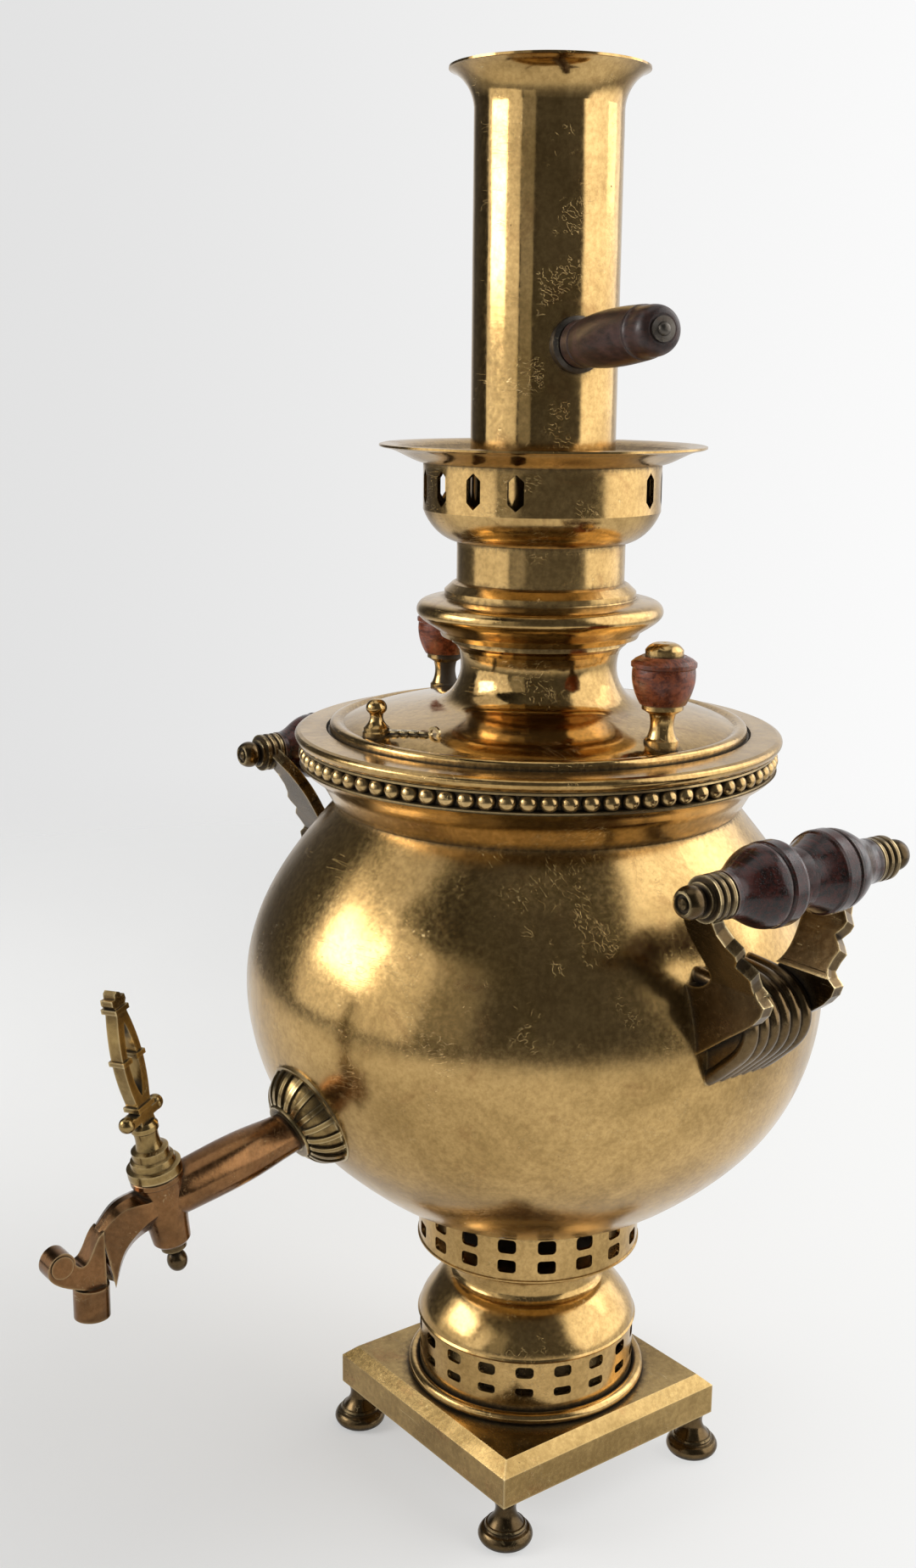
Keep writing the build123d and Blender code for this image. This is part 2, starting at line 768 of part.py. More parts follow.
with BuildPart() as vent_cap:
    with BuildSketch(vent_plane):
        with BuildLine():
            Polyline(
                (0, 0.8),
                (vent_pin, 0.8),
                (vent_pin, seat_height),
                (4.9, seat_height),
                (4.9, seat_height + 1.2),
            )
            Spline((4.9, seat_height + 1.2), (3.0, 5.4), (2.5, 7.6), (2.8, 8.6))
            Spline((2.8, 8.6), (4.0, 11.0), (2.6, vent_height), (0, vent_height + 0.6))
            Line((0, vent_height + 0.6), (0, 0.8))
        make_face()
    revolve(axis=vent_spin)
save(vent_cap.part, "vent_cap")

# chain_staple: small loop on the lid that keeps the stopper's chain
staple_bearing = 14.9
staple_reach = 66.0
staple_height = shoulder_top + 7.2
staple_radius = 2.6
staple_wire = 1.1
with BuildPart() as chain_staple:
    with BuildSketch(radial_plane(staple_bearing, staple_height, staple_reach)):
        Circle(staple_radius)
        Circle(staple_radius - staple_wire, mode=Mode.SUBTRACT)
    extrude(amount=staple_wire)
    add(lid_solid.part, mode=Mode.SUBTRACT)
save(chain_staple.part, "chain_staple")

# vent_chain: flat oval links lying between the stopper and the staple
link_length = 4.4
link_width = 3.0
link_wire = 0.8
link_count = 4
first_link = seat_radius + gap + link_length / 2     # its centre, from the stopper's axis
last_link = staple_radius + gap / 2 + link_length / 2
staple_across, staple_along = polar(staple_bearing, staple_reach)
chain_start = Vector(vent_across, vent_along, shoulder_top + 5.4)
chain_end = Vector(staple_across, staple_along, shoulder_top + 7.4)
chain_way = (chain_end - chain_start).normalized()
link_step = ((chain_end - chain_start).length - first_link - last_link) / (link_count - 1)
with BuildPart() as vent_chain:
    for link in range(link_count):
        centre = chain_start + chain_way * (first_link + link * link_step)
        with BuildSketch(Plane(origin=centre, x_dir=chain_way, z_dir=(0, 0, 1))):
            SlotOverall(link_length, link_width)
            SlotOverall(link_length - 2 * link_wire, link_width - 2 * link_wire, mode=Mode.SUBTRACT)
        extrude(amount=link_wire / 2, both=True)
save(vent_chain.part, "vent_chain")

# ================================================================ crown
# crown_sleeve: socket that sits on the lid's collar and opens into a cup
socket_top = crown_seat + socket_rise
cup_span = crown_radius - lid_collar
cup_line = [
    (lid_collar, socket_top),
    (lid_collar + cup_span * 0.36, socket_top + cup_rise * 0.144),
    (lid_collar + cup_span * 0.66, socket_top + cup_rise * 0.4),
    (lid_collar + cup_span * 0.88, socket_top + cup_rise * 0.72),
    (crown_radius, crown_low),
]
cup_under = inset(cup_line, sheet)
socket_floor = cup_under[1][1]
spigot_out = lid_collar - sheet - gap
with BuildPart() as crown_sleeve:
    with BuildSketch(Plane.XZ):
        with BuildLine():
            Spline(*cup_line)
            Line(cup_line[-1], (crown_radius - sheet, crown_low))
            Spline(
                (crown_radius - sheet, crown_low),
                cup_under[3],
                cup_under[2],
                cup_under[1],
            )
            Polyline(
                cup_under[1],
                (pipe_bore, socket_floor),
                (pipe_bore, ledge),
                (lid_bore, ledge),
                (lid_bore, crown_seat - 4.0),
                (spigot_out, crown_seat - 4.0),
                (spigot_out, crown_seat),
                (lid_collar, crown_seat),
                cup_line[0],
            )
        make_face()
    revolve(axis=Axis.Z)
save(crown_sleeve.part, "crown_sleeve")

# crown_gallery: pierced band with pointed slots in two groups
point_rise = crown_slot_height * 0.3
with BuildPart() as crown_gallery:
    with BuildSketch(Plane.XY.offset(crown_low)):
        Circle(crown_radius)
        Circle(crown_radius - sheet, mode=Mode.SUBTRACT)
    extrude(amount=crown_band)
    for group in (0, 180):
        for place in range(crown_slots):
            turn = crown_turn + group + (place - (crown_slots - 1) / 2) * crown_pitch
            with BuildSketch(radial_plane(turn, crown_low + crown_band / 2)):
                with BuildLine():
                    Polyline(
                        (0, -crown_slot_height / 2),
                        (crown_slot_width / 2, -point_rise),
                        (crown_slot_width / 2, point_rise),
                        (0, crown_slot_height / 2),
                        (-crown_slot_width / 2, point_rise),
                        (-crown_slot_width / 2, -point_rise),
                        close=True,
                    )
                make_face()
            extrude(amount=crown_radius + overcut, mode=Mode.SUBTRACT)
save(crown_gallery.part, "crown_gallery")

# crown_dish: shallow flared dish that a teapot rests on, with the hole for the pipe
dish_rim = band_top + dish_rise
with BuildPart() as crown_dish:
    with BuildSketch(Plane.XZ):
        with BuildLine():
            Line((pipe_bore, band_top), (crown_radius, band_top))
            Spline(
                (crown_radius, band_top),
                (crown_radius + 4.6, band_top + dish_rise * 0.2),
                (crown_radius + 10.4, band_top + dish_rise * 0.58),
                (dish_radius - 1.2, dish_rim - 1.6),
            )
            Polyline(
                (dish_radius - 1.2, dish_rim - 1.6),
                (dish_radius, dish_rim - 1.1),
                (dish_radius, dish_rim - 0.3),
                (dish_radius - 1.0, dish_rim),
            )
            Spline(
                (dish_radius - 1.0, dish_rim),
                (crown_radius + 9.8, band_top + dish_rise * 0.58 + sheet),
                (crown_radius + 3.9, band_top + dish_rise * 0.2 + sheet),
                (crown_radius - 1.2, band_top + sheet),
            )
            Polyline(
                (crown_radius - 1.2, band_top + sheet),
                (pipe_bore, band_top + sheet),
                (pipe_bore, band_top),
            )
        make_face()
    revolve(axis=Axis.Z)
save(crown_dish.part, "crown_dish")

# ================================================================ chimney pipe
flare_low = pipe_top - flare_height
flare_line = [
    (pipe_radius, flare_low),
    (pipe_radius + flare_out * 0.17, flare_low + flare_height * 0.42),
    (pipe_radius + flare_out * 0.56, flare_low + flare_height * 0.76),
    (pipe_radius + flare_out * 0.93, pipe_top - 1.2),
]
flare_inner = inset(flare_line, pipe_wall)
with BuildPart() as pipe_tube:
    with BuildSketch(Plane.XZ):
        with BuildLine():
            Line((pipe_radius, ledge), flare_line[0])
            Spline(*flare_line)
            Polyline(
                flare_line[-1],
                (pipe_radius + flare_out, pipe_top - 1.0),
                (pipe_radius + flare_out, pipe_top - 0.2),
                (pipe_radius + flare_out - 0.6, pipe_top),
                (flare_inner[-1][0], pipe_top),
            )
            Spline(
                (flare_inner[-1][0], pipe_top),
                flare_inner[2],
                flare_inner[1],
                (pipe_radius - pipe_wall, flare_low),
            )
            Polyline(
                (pipe_radius - pipe_wall, flare_low),
                (pipe_radius - pipe_wall, ledge),
                (pipe_radius, ledge),
            )
        make_face()
    revolve(axis=Axis.Z)
save(pipe_tube.part, "pipe_tube")

# the pipe's handle: iron flange, wooden grip, and the washer and rivet at its end
grip_tip = radians(pipe_grip_tilt)
grip_across, grip_along = polar(pipe_grip_bearing, 1)
grip_out = Vector(grip_across * cos(grip_tip), grip_along * cos(grip_tip), sin(grip_tip))
grip_side = Vector(-grip_along, grip_across, 0)
grip_foot = ledge + pipe_grip_rise
grip_spot = Vector(grip_across * pipe_radius, grip_along * pipe_radius, grip_foot)
grip_plane = Plane(origin=grip_spot, x_dir=grip_out.cross(grip_side), z_dir=grip_side)
grip_spin = Axis(grip_spot, grip_out)
grip_end = pipe_grip_length
flange_top = 2.4
with BuildPart() as pipe_grip_flange:
    with BuildSketch(grip_plane):
        with BuildLine():
            Polyline(
                (0, -pipe_radius / 3),
                (10.4, -pipe_radius / 3),
                (10.4, flange_top - 1.0),
                (8.8, flange_top),
                (0, flange_top),
                close=True,
            )
        make_face()
    revolve(axis=grip_spin)
    with BuildSketch(Plane.XY.offset(grip_foot - 2 * pipe_radius)):
        Circle(pipe_radius)
    extrude(amount=4 * pipe_radius, mode=Mode.SUBTRACT)
save(pipe_grip_flange.part, "pipe_grip_flange")

with BuildPart() as pipe_grip:
    with BuildSketch(grip_plane):
        with BuildLine():
            Polyline(
                (0, flange_top),
                (8.2, flange_top),
                (pipe_grip_radius - 1.4, 4.0),
                (pipe_grip_radius - 1.4, 9.0),
                (pipe_grip_radius - 2.0, 9.6),
                (pipe_grip_radius - 1.4, 10.2),
            )
            Spline(
                (pipe_grip_radius - 1.4, 10.2),
                (pipe_grip_radius - 0.4, grip_end * 0.3),
                (pipe_grip_radius, grip_end * 0.55),
                (pipe_grip_radius - 0.7, grip_end - 13.0),
            )
            Polyline(
                (pipe_grip_radius - 0.7, grip_end - 13.0),
                (pipe_grip_radius - 1.3, grip_end - 12.3),
                (pipe_grip_radius - 0.8, grip_end - 11.6),
            )
            Spline(
                (pipe_grip_radius - 0.8, grip_end - 11.6),
                (pipe_grip_radius - 1.5, grip_end - 4.6),
                (pipe_grip_radius - 2.6, grip_end - 1.4),
                (5.4, grip_end),
            )
            Polyline((5.4, grip_end), (0, grip_end), (0, flange_top))
        make_face()
    revolve(axis=grip_spin)
save(pipe_grip.part, "pipe_grip")

with BuildPart() as pipe_grip_rivet:
    with BuildSketch(grip_plane):
        with BuildLine():
            Polyline(
                (0, grip_end),
                (4.4, grip_end),
                (4.4, grip_end + 0.9),
                (2.4, grip_end + 1.1),
            )
            Spline((2.4, grip_end + 1.1), (1.7, grip_end + 2.2), (0, grip_end + 2.7))
            Line((0, grip_end + 2.7), (0, grip_end))
        make_face()
    revolve(axis=grip_spin)
save(pipe_grip_rivet.part, "pipe_grip_rivet")

# ================================================================ side handles
eye_low = eye_middle - eye_width / 2
washer = eye_middle + eye_width / 2
rod_half = washer + 7.0
eye_groove = eye_radius - 1.0
grip_slim = grip_half * 0.66           # the grip is slimmer than its bulbs beyond this
eye_line = [
    (0, eye_low),
    (eye_radius, eye_low),
    (eye_radius, eye_low + eye_width * 0.18),
    (eye_groove, eye_low + eye_width * 0.26),
    (eye_groove, eye_low + eye_width * 0.34),
    (eye_radius, eye_low + eye_width * 0.42),
    (eye_radius, eye_low + eye_width * 0.58),
    (eye_groove, eye_low + eye_width * 0.66),
    (eye_groove, eye_low + eye_width * 0.74),
    (eye_radius, eye_low + eye_width * 0.82),
    (eye_radius, washer),
    (0, washer),
]
# outlines of the bracket, outward and up from the grip's axis
arm_inner = [
    (-5.0, 2.0),
    (-12.0, -3.0),
    (-17.5, -11.0),
    (-19.0, -20.0),
    (-18.0, -28.0),
    (-18.0, -35.0),
    (-20.5, -40.0),
    (-25.5, -43.0),
    (-32.0, -43.6),
    (-38.0, -42.6),
    (-50.0, -40.0),
]
arm_outer = [
    (-50.0, -72.0),
    (-27.0, -70.0),
    (-22.0, -66.5),
    (-17.2, -63.0),
    (-12.4, -59.4),
    (-7.6, -56.0),
    (-2.6, -52.6),
    (1.6, -49.4),
    (5.0, -45.6),
    (6.4, -41.8),
    (3.4, -39.4),
    (2.0, -37.0),
    (2.6, -33.4),
    (3.6, -30.6),
    (1.4, -28.4),
    (-1.2, -26.4),
    (1.0, -23.6),
    (1.4, -21.4),
    (-1.6, -18.4),
    (-3.4, -14.0),
    (-2.8, -9.0),
    (1.0, -3.0),
    (-5.0, 2.0),
]
apron_line = [
    (-36.0, -42.0),
    (-24.0, -43.0),
    (-13.6, -45.4),
    (-7.4, -50.6),
    (-6.4, -57.4),
    (-9.6, -63.8),
    (-15.4, -69.6),
    (-22.4, -75.8),
    (-31.0, -81.6),
]
reed_line = inset(apron_line, 0.8)
apron_root = -50.0


def bracket_points(points):
    """Bracket points placed on the right of the body, in the XZ plane's own directions."""
    return [(handle_reach + out, handle_height + up) for out, up in points]


right_grip_axis = Axis((handle_reach, 0, handle_height), (0, 1, 0))
right_grip_plane = Plane((handle_reach, 0, handle_height), (1, 0, 0), (0, 0, 1))
right_grip_place = Location((handle_reach, 0, handle_height), (90, 0, 0))
apron_half = arm_foot_half - arm_thick / 2
arm_lean = (eye_middle - arm_foot_half) / arm_bend
arm_bottom = -2 * arm_bend
# bracket_form: reeded apron between two scalloped arms that lean apart, and their ringed eyes
with BuildPart() as bracket_form:
    with BuildSketch(Plane.XZ):
        edge = bracket_points(apron_line)
        root = bracket_points([(apron_root, -81.0), (apron_root, -41.0)])
        with BuildLine():
            Spline(*edge)
            Polyline(edge[-1], *root, edge[0])
        make_face()
    extrude(amount=apron_half, both=True)
    for reed in range(reed_count):
        aside = (reed - (reed_count - 1) / 2) * reed_pitch
        with BuildLine(Plane.XZ.offset(aside)) as reed_path:
            Spline(*bracket_points(reed_line))
        with BuildSketch(Plane(origin=reed_path.line @ 0, z_dir=reed_path.line % 0)):
            Circle(reed_radius)
        sweep(path=reed_path.line)
    for hand in (-1, 1):
        # the arm above its bend, in the leaning plane, and below it, upright
        for lean, low, high in ((arm_lean, -arm_bend - 1.0, arm_bend), (0, arm_bottom, 1.0 - arm_bend)):
            with BuildPart(mode=Mode.PRIVATE) as arm:
                slope = Vector(0, hand * lean, 1)
                arm_plane = Plane(
                    origin=(handle_reach, hand * arm_foot_half, handle_height - arm_bend),
                    x_dir=(1, 0, 0),
                    z_dir=Vector(1, 0, 0).cross(slope),
                )
                stretch = slope.length
                with BuildSketch(arm_plane):
                    with BuildLine():
                        Spline(*[(out, (up + arm_bend) * stretch) for out, up in arm_inner])
                        Line(
                            (arm_inner[-1][0], (arm_inner[-1][1] + arm_bend) * stretch),
                            (arm_outer[0][0], (arm_outer[0][1] + arm_bend) * stretch),
                        )
                        Polyline(*[(out, (up + arm_bend) * stretch) for out, up in arm_outer])
                    make_face()
                extrude(amount=arm_thick / 2, both=True)
                with BuildSketch(Plane.XY.offset(handle_height + low)):
                    with Locations((handle_reach, 0)):
                        Rectangle(2 * handle_reach, 4 * eye_middle)
                extrude(amount=high - low, mode=Mode.INTERSECT)
            add(arm.part)
    for hand in (-1, 1):
        with BuildSketch(right_grip_plane):
            with BuildLine():
                Polyline(*[(out, hand * along) for out, along in eye_line], close=True)
            make_face()
        revolve(axis=right_grip_axis)
    with Locations(right_grip_place):
        Cylinder(rod_radius, 2 * rod_half, mode=Mode.SUBTRACT)
        Cylinder(grip_radius + 1.0, 2 * grip_slim, mode=Mode.SUBTRACT)
        Cylinder(grip_radius * 0.66 + 1.0, 2 * eye_low, mode=Mode.SUBTRACT)
    add(body_solid.part, mode=Mode.SUBTRACT)

for name, side, turn in (("right", 1, 0), ("left", -1, 180)):
    grip_middle = (side * handle_reach, 0, handle_height)
    grip_axis = Axis(grip_middle, (0, 1, 0))
    along_grip = Plane(
        origin=grip_middle,
        x_dir=(side, 0, 0),
        z_dir=Vector(side, 0, 0).cross(Vector(0, 1, 0)),
    )
    across_grip = Location(grip_middle, (90, 0, 0))
    # handle_bracket: the bracket turned to its own side of the body
    with BuildPart() as handle_bracket:
        add(bracket_form.part, rotation=(0, 0, turn))
    save(handle_bracket.part, f"handle_bracket_{name}")

    # handle_grip: turned wood with two bulbs, bored for the rod
    with BuildPart() as handle_grip:
        with BuildSketch(along_grip):
            with BuildLine():
                Line((rod_radius, 0), (grip_radius * 0.71, 0))
                Spline(
                    (grip_radius * 0.71, 0),
                    (grip_radius * 0.78, grip_half * 0.1),
                    (grip_radius * 0.93, grip_half * 0.25),
                )
                Polyline(
                    (grip_radius * 0.93, grip_half * 0.25),
                    (grip_radius * 0.98, grip_half * 0.27),
                    (grip_radius, grip_half * 0.3),
                    (grip_radius, grip_half * 0.43),
                    (grip_radius * 0.97, grip_half * 0.45),
                    (grip_radius * 0.93, grip_half * 0.46),
                    (grip_radius * 0.93, grip_half * 0.48),
                    (grip_radius * 0.97, grip_half * 0.49),
                    (grip_radius * 0.97, grip_half * 0.52),
                )
                Spline(
                    (grip_radius * 0.97, grip_half * 0.52),
                    (grip_radius * 0.84, grip_half * 0.67),
                    (grip_radius * 0.64, grip_half * 0.82),
                    (grip_radius * 0.55, grip_half * 0.94),
                )
                Polyline(
                    (grip_radius * 0.55, grip_half * 0.94),
                    (grip_radius * 0.55, grip_half),
                    (rod_radius, grip_half),
                    (rod_radius, 0),
                )
            make_face()
        revolve(axis=grip_axis)
        mirror(about=Plane.XZ)
    save(handle_grip.part, f"handle_grip_{name}")

    # handle_rod: iron rod through the grip and both eyes, with a washer at each eye
    with BuildPart() as handle_rod:
        with Locations(across_grip):
            Cylinder(rod_radius, 2 * rod_half)
        with BuildSketch(along_grip):
            with Locations((rod_radius + 2.0, grip_half + eye_room / 2)):
                Rectangle(5.0, eye_room)
        revolve(axis=grip_axis)
        mirror(about=Plane.XZ)
    save(handle_rod.part, f"handle_rod_{name}")

    # handle_finials: washer and ball nut at each end of the rod
    with BuildPart() as handle_finials:
        with BuildSketch(along_grip):
            with BuildLine():
                Polyline(
                    (rod_radius, washer),
                    (6.2, washer),
                    (6.2, washer + 1.8),
                    (3.9, washer + 2.3),
                )
                Spline(
                    (3.9, washer + 2.3),
                    (5.2, washer + 3.6),
                    (5.8, washer + 5.8),
                    (5.4, washer + 8.0),
                    (4.4, washer + 9.6),
                )
                Polyline(
                    (4.4, washer + 9.6),
                    (3.6, washer + 9.8),
                    (3.2, washer + 8.8),
                    (2.2, washer + 8.8),
                    (1.9, washer + 9.8),
                    (1.1, washer + 10.4),
                    (0, washer + 10.5),
                    (0, rod_half),
                    (rod_radius, rod_half),
                    (rod_radius, washer),
                )
            make_face()
        revolve(axis=grip_axis)
        mirror(about=Plane.XZ)
    save(handle_finials.part, f"handle_finials_{name}")

# ================================================================ tap
crossing = Vector(0, -tap_reach, tap_height)
flow_out = Vector(0, -cos(fall), -sin(fall))
barrel_up = Vector(0, -sin(fall), cos(fall))
barrel_section = Plane(origin=crossing, x_dir=flow_out, z_dir=flow_out.cross(barrel_up))
barrel_axis = Axis(crossing, barrel_up)
mid_tap = Plane(origin=crossing, x_dir=(0, -1, 0), z_dir=(-1, 0, 0))
nozzle_plane = Plane.XY.offset(tap_height - nozzle_low)
nozzle_spot = (0, -tap_reach - nozzle_out)

# spout_arm: the curved arm, bevelled above and below and slimmer toward the nose
arm_crest = [(0, 6.2), (9.5, 4.8), (14.0, 4.2), (18.4, 2.8), (22.0, 0.0), (26.4, -5.0)]
arm_belly = [(19.7, -28.0), (18.2, -22.6), (15.6, -16.8), (11.4, -12.8), (6.9, -10.8), (0, -9.4)]
side_crest = [(0, 3.8), (8.8, 2.6), (13.4, 2.0), (17.6, 0.7), (21.0, -2.0), (25.2, -6.6)]
side_belly = [(23.0, -27.6), (21.3, -19.0), (18.8, -13.0), (14.6, -8.6), (8.0, -4.6), (0, -2.0)]
crest_half = 1.5
with BuildPart() as spout_arm:
    with BuildSketch(mid_tap):
        with BuildLine():
            Spline(*arm_crest)
            Line(arm_crest[-1], arm_belly[0])
            Spline(*arm_belly)
            Line(arm_belly[-1], arm_crest[0])
        make_face()
    extrude(amount=crest_half, both=True)
    for hand in (-1, 1):
        with BuildSketch(mid_tap.offset(hand * crest_half)):
            with BuildLine():
                Spline(*arm_crest)
                Line(arm_crest[-1], arm_belly[0])
                Spline(*arm_belly)
                Line(arm_belly[-1], arm_crest[0])
            make_face()
        with BuildSketch(mid_tap.offset(hand * spout_half)):
            with BuildLine():
                Spline(*side_crest)
                Line(side_crest[-1], side_belly[0])
                Spline(*side_belly)
                Line(side_belly[-1], side_crest[0])
            make_face()
        loft()
    with BuildSketch(Plane(origin=(0, -tap_reach, tap_height - nozzle_low), x_dir=(0, -1, 0))):
        with BuildLine():
            Polyline(
                (0, -spout_half),
                (side_crest[1][0], -spout_half),
                (side_crest[-1][0], -spout_end_half),
                (nozzle_out, -spout_end_half),
                (nozzle_out, spout_end_half),
                (side_crest[-1][0], spout_end_half),
                (side_crest[1][0], spout_half),
                (0, spout_half),
                close=True,
            )
        make_face()
    extrude(amount=2 * nozzle_low, mode=Mode.INTERSECT)

# tap_body: feed pipe, plug barrel, curved arm and scrolled nose, in one casting
feed_line = [
    (barrel_slim, 0),
    (tap_pipe - 1.0, 4.0),
    (tap_pipe - 0.4, 10.0),
    (tap_pipe, 26.0),
    (tap_pipe - 0.3, 38.0),
    (tap_pipe_root + 0.6, 48.0),
    (tap_pipe_root, tap_run - rosette_reach),
]
nose_front = [(25.2, -4.4), (28.0, -7.4), (30.4, -12.2), (33.2, -15.4), (36.6, -13.8)]
nose_scroll = [
    (36.6, -13.8),
    (37.2, -10.8),
    (39.4, -8.7),
    (42.0, -8.3),
    (44.8, -9.6),
    (46.7, -12.6),
    (46.8, -16.0),
    (44.2, -19.4),
    (38.0, -23.0),
    (31.0, -25.8),
    (24.8, -28.0),
]
scroll_eye = (41.7, -13.4)
scroll_eye_radius = 4.2
feed_plane = Plane(
    origin=crossing,
    x_dir=(1, 0, 0),
    z_dir=Vector(1, 0, 0).cross(flow_back.z_dir),
)
elbow = (11.0, -11.0 * sin(fall) / cos(fall))
down_way = Vector(0, elbow[0] - nozzle_out, -nozzle_joint - elbow[1])
elbow_spot = crossing + Vector(0, -elbow[0], elbow[1])
down_plane = Plane(origin=elbow_spot, x_dir=(1, 0, 0), z_dir=down_way)
with BuildPart() as tap_body:
    with BuildSketch(feed_plane):
        with BuildLine():
            Spline(*feed_line)
            Polyline(
                feed_line[-1],
                (tap_pipe_root, tap_run + tap_pipe),
                (0, tap_run + tap_pipe),
                (0, 0),
                feed_line[0],
            )
        make_face()
    revolve(axis=Axis(crossing, flow_back.z_dir))
    with BuildSketch(barrel_section):
        with BuildLine():
            Polyline(
                (0, -barrel_depth),
                (barrel_slim - 0.6, -barrel_depth),
                (barrel_slim, -barrel_depth + 0.8),
                (barrel_wide, barrel_top - 2.8),
                (barrel_wide + 0.5, barrel_top - 2.3),
                (barrel_wide + 0.5, barrel_top - 0.5),
                (barrel_wide, barrel_top),
                (0, barrel_top),
                close=True,
            )
        make_face()
    revolve(axis=barrel_axis)
    add(spout_arm.part)
    with BuildSketch(mid_tap):
        with BuildLine():
            Spline(*nose_front)
            Spline(*nose_scroll)
            Line(nose_scroll[-1], nose_front[0])
        make_face()
    extrude(amount=nose_half, both=True)
    with BuildSketch(mid_tap):
        with Locations(scroll_eye):
            Circle(scroll_eye_radius)
    extrude(amount=nose_half + 0.5, both=True)
    with BuildSketch(flow_back):
        Circle(tap_bore)
    extrude(amount=tap_run + tap_pipe + overcut, mode=Mode.SUBTRACT)
    with BuildSketch(flow_back):
        Circle(spout_bore)
    extrude(amount=-elbow[0] / cos(fall), mode=Mode.SUBTRACT)
    with Locations(elbow_spot):
        Sphere(spout_bore, mode=Mode.SUBTRACT)
    with BuildSketch(down_plane):
        Circle(spout_bore)
    extrude(amount=down_way.length + overcut, mode=Mode.SUBTRACT)
    with BuildSketch(barrel_section):
        with BuildLine():
            Polyline(
                (0, -barrel_depth),
                (plug_slim + plug_fit, -barrel_depth),
                (plug_wide + plug_fit, barrel_top),
                (0, barrel_top),
                close=True,
            )
        make_face()
    revolve(axis=barrel_axis, mode=Mode.SUBTRACT)
    add(body_solid.part, mode=Mode.SUBTRACT)
save(tap_body.part, "tap_body")

# tap_nozzle: short sleeve under the nose, closed above but for the way in
nozzle_roof = 1.6
with BuildPart() as tap_nozzle:
    with BuildSketch(nozzle_plane):
        with Locations(nozzle_spot):
            Circle(nozzle_radius)
    extrude(amount=nozzle_low - nozzle_joint)
    with BuildSketch(nozzle_plane):
        with Locations(nozzle_spot):
            Circle(nozzle_bore)
    extrude(amount=nozzle_low - nozzle_joint - nozzle_roof, mode=Mode.SUBTRACT)
    with BuildSketch(down_plane):
        Circle(spout_bore)
    extrude(amount=down_way.length + overcut, mode=Mode.SUBTRACT)
    add(tap_body.part, mode=Mode.SUBTRACT)
save(tap_nozzle.part, "tap_nozzle")

# tap_rosette: ribbed rose that covers the joint of pipe and body
lean = radians(rosette_lean)
rosette_out = Vector(0, -cos(lean), -sin(lean))
rosette_mouth = crossing - flow_out * (tap_run - rosette_reach)
rosette_base = rosette_mouth - rosette_out * rosette_height
rosette_turn = Axis((0, 0, 0), rosette_out)
rosette_throat = tap_pipe_root + 2.6
rib_line = [
    (rosette_radius - 0.8, 1.6),
    (rosette_radius - 2.2, rosette_height * 0.45),
    (rosette_radius - 5.6, rosette_height * 0.8),
    (rosette_throat + 1.4, rosette_height),
]
core_line = inset(rib_line, 1.1)
core_plane = Plane(
    origin=rosette_base,
    x_dir=(1, 0, 0),
    z_dir=Vector(1, 0, 0).cross(rosette_out),
)
with BuildPart() as tap_rosette:
    with BuildSketch(core_plane):
        with BuildLine():
            Spline(*core_line)
            Polyline(
                core_line[-1],
                (rosette_throat + 0.8, rosette_height + 1.0),
                (0, rosette_height + 1.0),
                (0, -rosette_radius),
                (rosette_radius, -rosette_radius),
                (rosette_radius, 1.2),
                (rosette_radius - 1.4, 1.6),
                core_line[0],
            )
        make_face()
    revolve(axis=Axis(rosette_base, rosette_out))
    for rib in range(rosette_ribs):
        rib_way = Vector(1, 0, 0).rotate(rosette_turn, rib * 360 / rosette_ribs)
        rib_plane = Plane(
            origin=rosette_base,
            x_dir=rib_way,
            z_dir=rib_way.cross(rosette_out),
        )
        with BuildSketch(rib_plane):
            with BuildLine():
                Spline(*rib_line)
                Polyline(rib_line[-1], (rosette_throat, 0), (rib_line[0][0], 0), rib_line[0])
            make_face()
        extrude(amount=1.0, both=True)
    add(body_solid.part, mode=Mode.SUBTRACT)
    add(tap_body.part, mode=Mode.SUBTRACT)
    with BuildSketch(flow_back.offset(tap_run - rosette_reach - 3.0)):
        Circle(tap_bore)
    extrude(amount=rosette_radius, mode=Mode.SUBTRACT)
save(tap_rosette.part, "tap_rosette")

